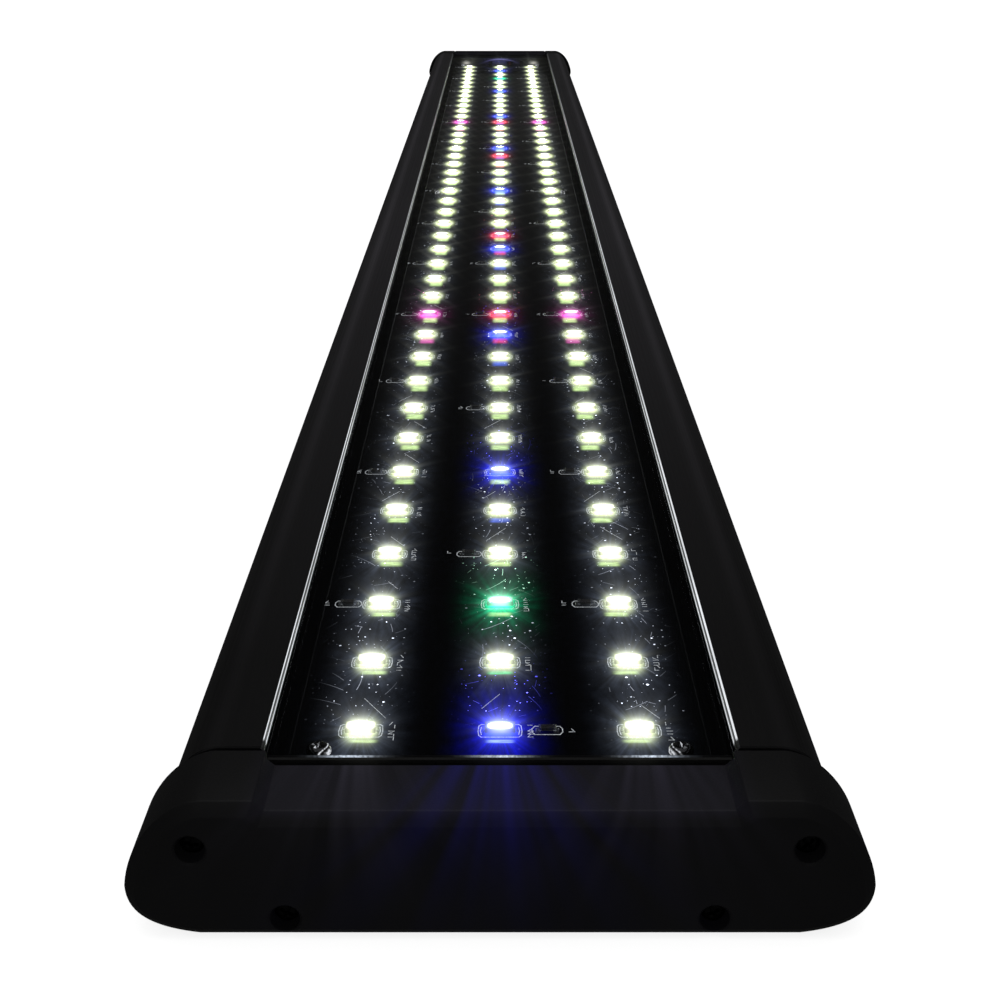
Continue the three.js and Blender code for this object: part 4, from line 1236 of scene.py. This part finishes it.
def resistors(name, places, node):
    solid = Solid()
    for x, y in places:
        resistor(solid, x, y)
    return piece(name, solid, [MATERIALS["chip"], MATERIALS["solder"]], replaces=[node])


def printing(row):
    """White outlines round a row's emitters and resistors, tick marks beside them, and the lit board tracks."""
    solid = Solid()
    low, high = BOARD_HIGH[2] + 0.004, BOARD_HIGH[2] + 0.034
    centre_x = row * SIDE_ROW_X
    draw = np.random.default_rng(5 + row)

    def lines(points, width=0.17):
        for a, b in zip(points, points[1:]):
            solid.stroke(a, b, width, low, high)

    def ticks(x, y, count, along):
        """Strokes in a small block, where a board has its part marks. along sets their spacing."""
        for tick in range(count):
            ty = y + (tick - (count - 1) / 2) * along
            left, right = x - 0.5, x + 0.5
            if draw.random() < 0.75:
                lines([(left, ty), (right - 0.35 * draw.random(), ty)], 0.13)
            if draw.random() < 0.6:
                lines([(draw.choice([left, right]), ty), (draw.choice([left, x, right]), ty + along)], 0.13)

    for index in range(ROW_LENGTH):
        y = led_y(index)
        half_x, front, back = 3.95, y - 2.5, y + 2.2
        for side in (-1, 1):
            outer = centre_x + side * half_x
            lines([
                (centre_x, front), (outer - side * 0.6, front), (outer - side * 0.15, front + 0.6),
                (outer, y - 0.3), (outer - side * 0.15, back - 0.5), (outer - side * 0.6, back),
                (centre_x, back),
            ])
            inner = centre_x + side * (half_x - 0.62)
            lines([(inner, y - 1.6), (inner + side * 0.2, y - 0.2), (inner, y + 1.2)])
        ticks(centre_x + 5.5, y - 0.8, 6, 1.1)
        # the thin lit track that leaves most emitters, to one side or the other
        lean = draw.choice([-1, 1], p=[0.6, 0.4])
        run = draw.uniform(0.35, 1)
        from_x, from_y = centre_x + lean * (2.8 + 2 * draw.random()), y + 4 + 5 * draw.random()
        if draw.random() < 0.75:
            lines([(from_x, from_y), (from_x - lean * 4.6 * run, from_y + 8 * run)], 0.1)
    for x, y in resistor_places(row) + ([(8.5, led_y(0))] if row == 0 else []):
        half_x, half_y = 2.75, 1.55
        for side in (-1, 1):
            lines([(x - half_x + 0.5, y + side * half_y), (x + half_x - 0.5, y + side * half_y)])
            lines([(x + side * (half_x - 0.5), y + half_y), (x + side * half_x, y + half_y * 0.4),
                   (x + side * half_x, y - half_y * 0.4), (x + side * (half_x - 0.5), y - half_y)])
        ticks(x + (4.4 if x > centre_x else -4.4), y, 2, 1.1)
    name = {-1: "left", 0: "centre", 1: "right"}[row]
    return piece(f"board_print_{name}", solid, [MATERIALS["print"]])


def window_sheet():
    """The clear sheet: faces with a high polish, bevelled edges, and ends that carry light."""
    solid = Solid()
    low, high = COVER_LOW, COVER_HIGH
    bevel = 0.25

    def rectangle(inset, z):
        return solid.add_points([
            (low[0] + inset, low[1] + inset, z), (high[0] - inset, low[1] + inset, z),
            (high[0] - inset, high[1] - inset, z), (low[0] + inset, high[1] - inset, z),
        ])

    rings = [rectangle(bevel, low[2]), rectangle(0, low[2] + bevel), rectangle(0, high[2] - bevel),
             rectangle(bevel, high[2])]
    ends = [2, 1, 2, 1]  # the two short edges carry light, the two long edges do not
    for a, b in zip(rings, rings[1:]):
        solid.bridge(a, b, False, ends)
    solid.face(rings[0][::-1], False, 1)
    solid.face(rings[-1], False, 0)
    return piece(
        "window_sheet", solid, [MATERIALS["window_face"], MATERIALS["window"], MATERIALS["window_edge"]],
        replaces=["clear_cover"],
    )


def end_walls():
    """Black moulded walls that close the bay behind the board's ends, notched where leads pass."""
    solid = Solid()
    wall_half, low_z, high_z, notch_z = BAY_HALF - 0.4, BOARD_HIGH[2] + 0.1, COVER_LOW[2] - 0.1, BOARD_HIGH[2] + 2.6
    near_y, far_y = COVER_HIGH[1] - 0.1, HOUSING_HIGH[1] - 0.05
    notches = [(-9.5, -6.5), (5.5, 11), (16.5, 19.5)]
    for side in (-1, 1):
        low_y, high_y = sorted((side * near_y, side * far_y))
        solid.block((-wall_half, low_y, notch_z), (wall_half, high_y, high_z))
        edges = [-wall_half] + [x for notch in notches for x in notch] + [wall_half]
        for left, right in zip(edges[::2], edges[1::2]):
            solid.block((left, low_y, low_z), (right, high_y, notch_z))
    return piece("bay_end_walls", solid, [MATERIALS["end_wall"]])


# ---------------------------------------------------------------- screws
def screw_mesh(head_radius, head_height, shank_radius, shank_length):
    """A pan head screw on its own Z axis, head up, with a cross recess and a cut thread."""
    solid = Solid()
    pitch = 0.6
    turns = int((shank_length - 1.4) / pitch)
    profile = [(0, -shank_length), (shank_radius * 0.6, -shank_length + 0.15)]
    for turn in range(turns):
        z = -shank_length + 1.2 + turn * pitch
        profile += [(shank_radius * 0.8, z), (shank_radius, z + pitch * 0.3), (shank_radius, z + pitch * 0.45),
                    (shank_radius * 0.8, z + pitch * 0.75)]
    profile += [(shank_radius * 0.8, 0), (head_radius - 0.08, 0), (head_radius, 0.1), (head_radius, head_height * 0.42)]
    dome_steps = 6
    for step in range(1, dome_steps + 1):
        angle = math.pi / 2 * step / dome_steps
        radius = head_radius * (0.45 + 0.55 * math.cos(angle))
        profile.append((radius, head_height * (0.42 + 0.58 * math.sin(angle))))
    profile.append((0, head_height))
    solid.lathe(profile, lambda x, y, z: (x, y, z), 32)
    head = new_object("screw", solid, [])
    cuts = []
    for turn in (0, 90):
        half, width, depth = head_radius * 0.6, 0.34, 0.85
        wing = Solid()
        rings = []
        for z, share in ((head_height - depth, 0.35), (head_height + 0.2, 1.06)):
            rings.append(wing.add_points([(-half * share, -width, z), (half * share, -width, z),
                                          (half * share, width, z), (-half * share, width, z)]))
        wing.face(rings[0][::-1])
        wing.bridge(*rings, False)
        wing.face(rings[1])
        cutter = new_object("wing", wing, [])
        cutter.data.transform(Matrix.Rotation(math.radians(turn), 4, "Z"))
        cuts.append(("DIFFERENCE", cutter))
    head = carved(head, cuts)
    mesh = head.data
    bpy.data.objects.remove(head)
    return mesh


def screw(name, mesh, node, material, turned, spin):
    """One screw standing where the CAD node stands. turned is the rotation from +Z to the screw's own way up."""
    low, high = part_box(node)
    mesh = mesh.copy()
    mesh.transform(Matrix.Rotation(math.radians(spin), 4, "Z"))
    mesh.transform(turned)
    centre = (low + high) / 2
    corners = np.array([v.co for v in mesh.vertices])
    middle = Vector((corners.min(0) + corners.max(0)) / 2)
    mesh.transform(Matrix.Translation(centre - middle))
    mesh.materials.clear()
    mesh.materials.append(material)
    obj = bpy.data.objects.new(name, mesh)
    scene.collection.objects.link(obj)
    return piece(name, obj, None, replaces=[node])


def all_screws():
    low, high = box_mm("board_screw_1")
    board_mesh = screw_mesh(2.2, 1.5, 1.2, high[2] - low[2] - 1.5)
    for index in range(1, 7):
        screw(f"board_screw_head_{index}", board_mesh, f"board_screw_{index}",
              MATERIALS["steel"], Matrix.Identity(4), 20 + 47 * index)
    low, high = box_mm("cap_screw_far_1")
    cap_mesh = screw_mesh(2.1, 1.6, 1.2, high[1] - low[1] - 1.6)
    for end, angle in (("near", 90), ("far", -90)):
        for index in range(1, 5):
            turned = Matrix.Rotation(math.radians(angle), 4, "X")
            screw(f"cap_screw_{end}_head_{index}", cap_mesh, f"cap_screw_{end}_{index}",
                  MATERIALS["dark_steel"], turned, 10 + 35 * index)


# ---------------------------------------------------------------- inlet and switch
def inlet():
    """The barrel inlet's moulding: rounded flange, stepped socket."""
    low, high = box_mm("dc_jack_body")
    x, z = (low[0] + high[0]) / 2, (low[2] + high[2]) / 2
    front, back = high[1], low[1]
    flange_back = front - 1.6
    flange = (high[0] - low[0]) / 2
    barrel, socket, bore = 4.0, 2.9, 1.3
    floor = back + 2
    section, bends = path_with_fillets(
        [(bore, back), (barrel, back), (barrel, flange_back), (flange, flange_back), (flange, front),
         (socket + 0.4, front), (socket, front - 0.4), (socket, floor), (bore, floor), (bore, back)],
        0.18, 3)
    section, bends = section[:-1], bends[:-1] + [False]
    solid = Solid()
    place = along_y(x, z)
    rings = [solid.add_points([place(u, v, height) for u, v in circle(0, 0, radius, 48)])
             for radius, height in section]
    for a, b in zip(rings, rings[1:] + rings[:1]):
        solid.bridge(a, b, True)
    return piece("inlet_barrel", solid, [MATERIALS["switch"]], replaces=["dc_jack_body"])


def switch_frame():
    """The switch moulding: a bevelled bezel on the panel and the well that holds the rocker."""
    low, high = box_mm("switch_body")
    x, z = (low[0] + high[0]) / 2, (low[2] + high[2]) / 2
    front, back = high[1], low[1]
    bezel_back = front - 1.2

    def rectangle(half_x, half_z, radius):
        outline = Outline()
        for sx, sz in ((-1, -1), (1, -1), (1, 1), (-1, 1)):
            outline.to(x + sx * half_x, z + sz * half_z, radius)
        return outline.ring()[0]

    half_x, half_z = (high[0] - low[0]) / 2, (high[2] - low[2]) / 2
    levels = [
        (6.8, 4.3, 0.5, back), (6.8, 4.3, 0.5, bezel_back), (half_x, half_z, 1.2, bezel_back),
        (half_x, half_z, 1.2, front - 0.4), (half_x - 0.15, half_z - 0.15, 1.1, front - 0.12),
        (half_x - 0.45, half_z - 0.45, 1.0, front), (6.4, 3.6, 0.6, front), (6.2, 3.4, 0.5, front - 0.2),
        (6.2, 3.4, 0.5, front - 8.8),
    ]
    solid = Solid()
    rings = [solid.add_points([(px, y, pz) for px, pz in rectangle(a, b, r)]) for a, b, r, y in levels]
    for a, b in zip(rings, rings[1:]):
        solid.bridge(a, b, False)
    solid.fill(rings[0])
    solid.fill(rings[-1])
    frame_obj = new_object("switch_frame", solid, [])
    pivot = frame["joints"][0]["origin"] if "origin" in frame["joints"][0] else None
    pivot_y = (pivot[1] / MM) if pivot else front - 1.6
    pin = Solid()
    pin.lathe([(0, z - 4.0), (1, z - 4.0), (1, z + 4.0), (0, z + 4.0)], lambda u, v, h: (x + u, pivot_y + v, h), 32)
    frame_obj = carved(frame_obj, [("DIFFERENCE", new_object("pivot", pin, []))])
    frame_obj.data.materials.clear()
    frame_obj.data.materials.append(MATERIALS["switch"])
    return piece("switch_frame", frame_obj, None, replaces=["switch_body"])


def rocker():
    """The rocker: a shallow rounded V with generic position marks, and its pivot pins."""
    low, high = box_mm("switch_rocker")
    x, z = (low[0] + high[0]) / 2, (low[2] + high[2]) / 2
    crown, dip, half = 2.9, 2.0, 5.0
    pivot_y = high[1] - crown
    flank = math.hypot(half, crown)
    top_angle = math.atan2(crown, half)
    foot_angle = math.asin(-2.5 / flank)
    outline = Outline()
    steps = 8
    for step in range(steps + 1):
        angle = foot_angle + (top_angle - foot_angle) * step / steps
        outline.to(x + flank * math.cos(angle), pivot_y + flank * math.sin(angle), 0.25 if step == steps else 0,
                   curved=True)
    outline.curved[-1] = False
    outline.to(x, pivot_y + dip, 1.6)
    for step in range(steps + 1):
        angle = top_angle + (foot_angle - top_angle) * step / steps
        outline.to(x - flank * math.cos(angle), pivot_y + flank * math.sin(angle), 0.25 if step == 0 else 0,
                   curved=True)
    outline.curved[-1] = False
    solid = Solid()
    half_width = 3.1
    edge = 0.22
    rings = []
    for height, inset in ((-half_width, edge), (edge - half_width, 0), (half_width - edge, 0), (half_width, edge)):
        points, curved, _ = outline.ring(inset)
        rings.append(solid.add_points([(px, py, z + height) for px, py in points]))
    for a, b in zip(rings, rings[1:]):
        solid.bridge(a, b, curved)
    solid.fill(rings[0])
    solid.fill(rings[-1])
    body = new_object("rocker_body", solid, [])
    pins = Solid()
    pins.lathe([(0, z - 3.9), (0.9, z - 3.9), (0.9, z + 3.9), (0, z + 3.9)],
               lambda u, v, h: (x + u, pivot_y + v, h), 24)
    body = carved(body, [("UNION", new_object("pins", pins, []))])
    body.data.materials.clear()
    body.data.materials.append(MATERIALS["switch"])
    piece("rocker_cap", body, None, "rocker", replaces=["switch_rocker"])
    # the marks lie on the two sloping faces: one bar and two bars
    marks = Solid()
    slope = math.atan2(crown - dip, half)

    def on_slope(side, along, height, lift):
        """A point on one sloping face, given along it from the middle."""
        px = x + side * along * math.cos(slope) - side * lift * math.sin(slope)
        py = pivot_y + dip + along * math.sin(slope) + lift * math.cos(slope)
        return px, py, z + height

    for side, places in ((-1, (3.2,)), (1, (2.9, 3.7))):
        for along in places:
            corners = [(along - 0.16, -1.0), (along + 0.16, -1.0), (along + 0.16, 1.0), (along - 0.16, 1.0)]
            bottom = marks.add_points([on_slope(side, a, h, 0.01) for a, h in corners])
            top = marks.add_points([on_slope(side, a, h, 0.06) for a, h in corners])
            marks.face(bottom[::-1])
            marks.bridge(bottom, top, False)
            marks.face(top)
    return piece("rocker_marks", marks, [MATERIALS["mark"]], "rocker")


# ---------------------------------------------------------------- assembly
housing()
end_cap("near_cap_shell", "end_cap_near", False)
end_cap("far_cap_shell", "end_cap_far", True)
piece("emitter_board", board_solid(), [MATERIALS["board"]], replaces=["led_board"])
window_sheet()
end_walls()
for row_side, row_name in ((-1, "left"), (0, "centre"), (1, "right")):
    emitter_row(row_side)
    printing(row_side)
    resistors(f"resistors_{row_name}", resistor_places(row_side), f"resistor_row_{row_name}")
resistors("resistor_near", [tuple(middle_mm("resistor_first")[:2])], "resistor_first")
all_screws()
inlet()
switch_frame()
rocker()

CARRIED_OVER = {
    "end_gasket_near": "rubber",
    "end_gasket_far": "rubber",
    "cover_seal_left": "rubber",
    "cover_seal_right": "rubber",
    "thermal_pad": "pad",
    "dc_jack_nut": "nickel",
    "dc_jack_pin": "nickel",
    "switch_terminal_day": "nickel",
    "switch_terminal_common": "nickel",
    "switch_terminal_moon": "nickel",
    "lead_supply": "red_lead",
    "lead_day": "red_lead",
    "lead_return": "black_lead",
    "lead_moon": "black_lead",
}
for node_name, material_name in CARRIED_OVER.items():
    carried = frame["nodes"][node_name]
    for material_slot in carried.material_slots:
        material_slot.material = MATERIALS[material_name]


# ---------------------------------------------------------------- stage, light
def stage_floor():
    """A wide pale floor just under the light's back."""
    solid = Solid()
    half, depth = 9000, 20
    solid.block((-half, -half, -depth - 0.02), (half, half, -0.02))
    material, graph, shader = surface("pale_floor")
    cloud = graph.noise(graph.place((0.004, 0.004, 0.004)), 1.0, 3.0)
    graph.put(shader.inputs["Base Color"], graph.mix(cloud, (0.50, 0.50, 0.50, 1), (0.53, 0.53, 0.53, 1)))
    shader.inputs["Roughness"].default_value = 0.9
    shader.inputs["Specular IOR Level"].default_value = 0.0
    shader.inputs["Emission Color"].default_value = (1, 1, 1, 1)
    shader.inputs["Emission Strength"].default_value = 0.82
    floor = new_object("floor", solid, [material])
    floor.visible_glossy = False
    floor.visible_diffuse = False


def soft_light(name, place, aim, size, watts):
    data = bpy.data.lights.new(name, "AREA")
    data.shape = "RECTANGLE"
    data.size, data.size_y = size
    data.energy = watts
    lamp_object = bpy.data.objects.new(name, data)
    scene.collection.objects.link(lamp_object)
    lamp_object.location = place
    lamp_object.rotation_euler = (Vector(place) - Vector(aim)).to_track_quat("Z", "Y").to_euler()
    return lamp_object


def surroundings():
    """White all round for the camera, and dimmer in reflections, as in a room with black flags."""
    world = bpy.data.worlds.new("studio")
    scene.world = world
    world.use_nodes = True
    graph = Graph(world.node_tree)
    path = graph.node("LightPath").outputs
    background = world.node_tree.nodes["Background"]
    level = graph.math("ADD", path["Is Camera Ray"], graph.math("MULTIPLY", path["Is Diffuse Ray"], 0.55))
    level = graph.math("ADD", level, graph.math("MULTIPLY", path["Is Glossy Ray"], 0.03))
    graph.put(background.inputs["Strength"], graph.math("MINIMUM", level, 1.0))
    background.inputs["Color"].default_value = (1, 1, 1, 1)


def lens_glare():
    """The soft bloom and fine rays that a lens puts round lamps this bright."""
    scene.use_nodes = True
    tree = scene.node_tree
    tree.nodes.clear()
    source = tree.nodes.new("CompositorNodeRLayers").outputs["Image"]
    glares = (
        ("BLOOM", {"Threshold": 3.0, "Maximum": 14.0, "Strength": 0.42, "Size": 0.06, "Clamp": True}),
        ("STREAKS", {"Threshold": 3.0, "Maximum": 14.0, "Strength": 0.1, "Streaks": 8, "Fade": 0.84, "Clamp": True,
                     "Streaks Angle": math.radians(12), "Iterations": 3, "Color Modulation": 0.1}),
    )
    for kind, settings in glares:
        glare = tree.nodes.new("CompositorNodeGlare")
        glare.glare_type = kind
        glare.quality = "HIGH"
        for name, value in settings.items():
            glare.inputs[name].default_value = value
        tree.links.new(source, glare.inputs["Image"])
        source = glare.outputs["Image"]
    tree.links.new(source, tree.nodes.new("CompositorNodeComposite").inputs["Image"])


stage_floor()
surroundings()
soft_light("overhead", (0, 0.2, 2.6), (0, 0, 0), (2.2, 3.2), 9)
lens_glare()
scene.view_settings.view_transform = "Standard"
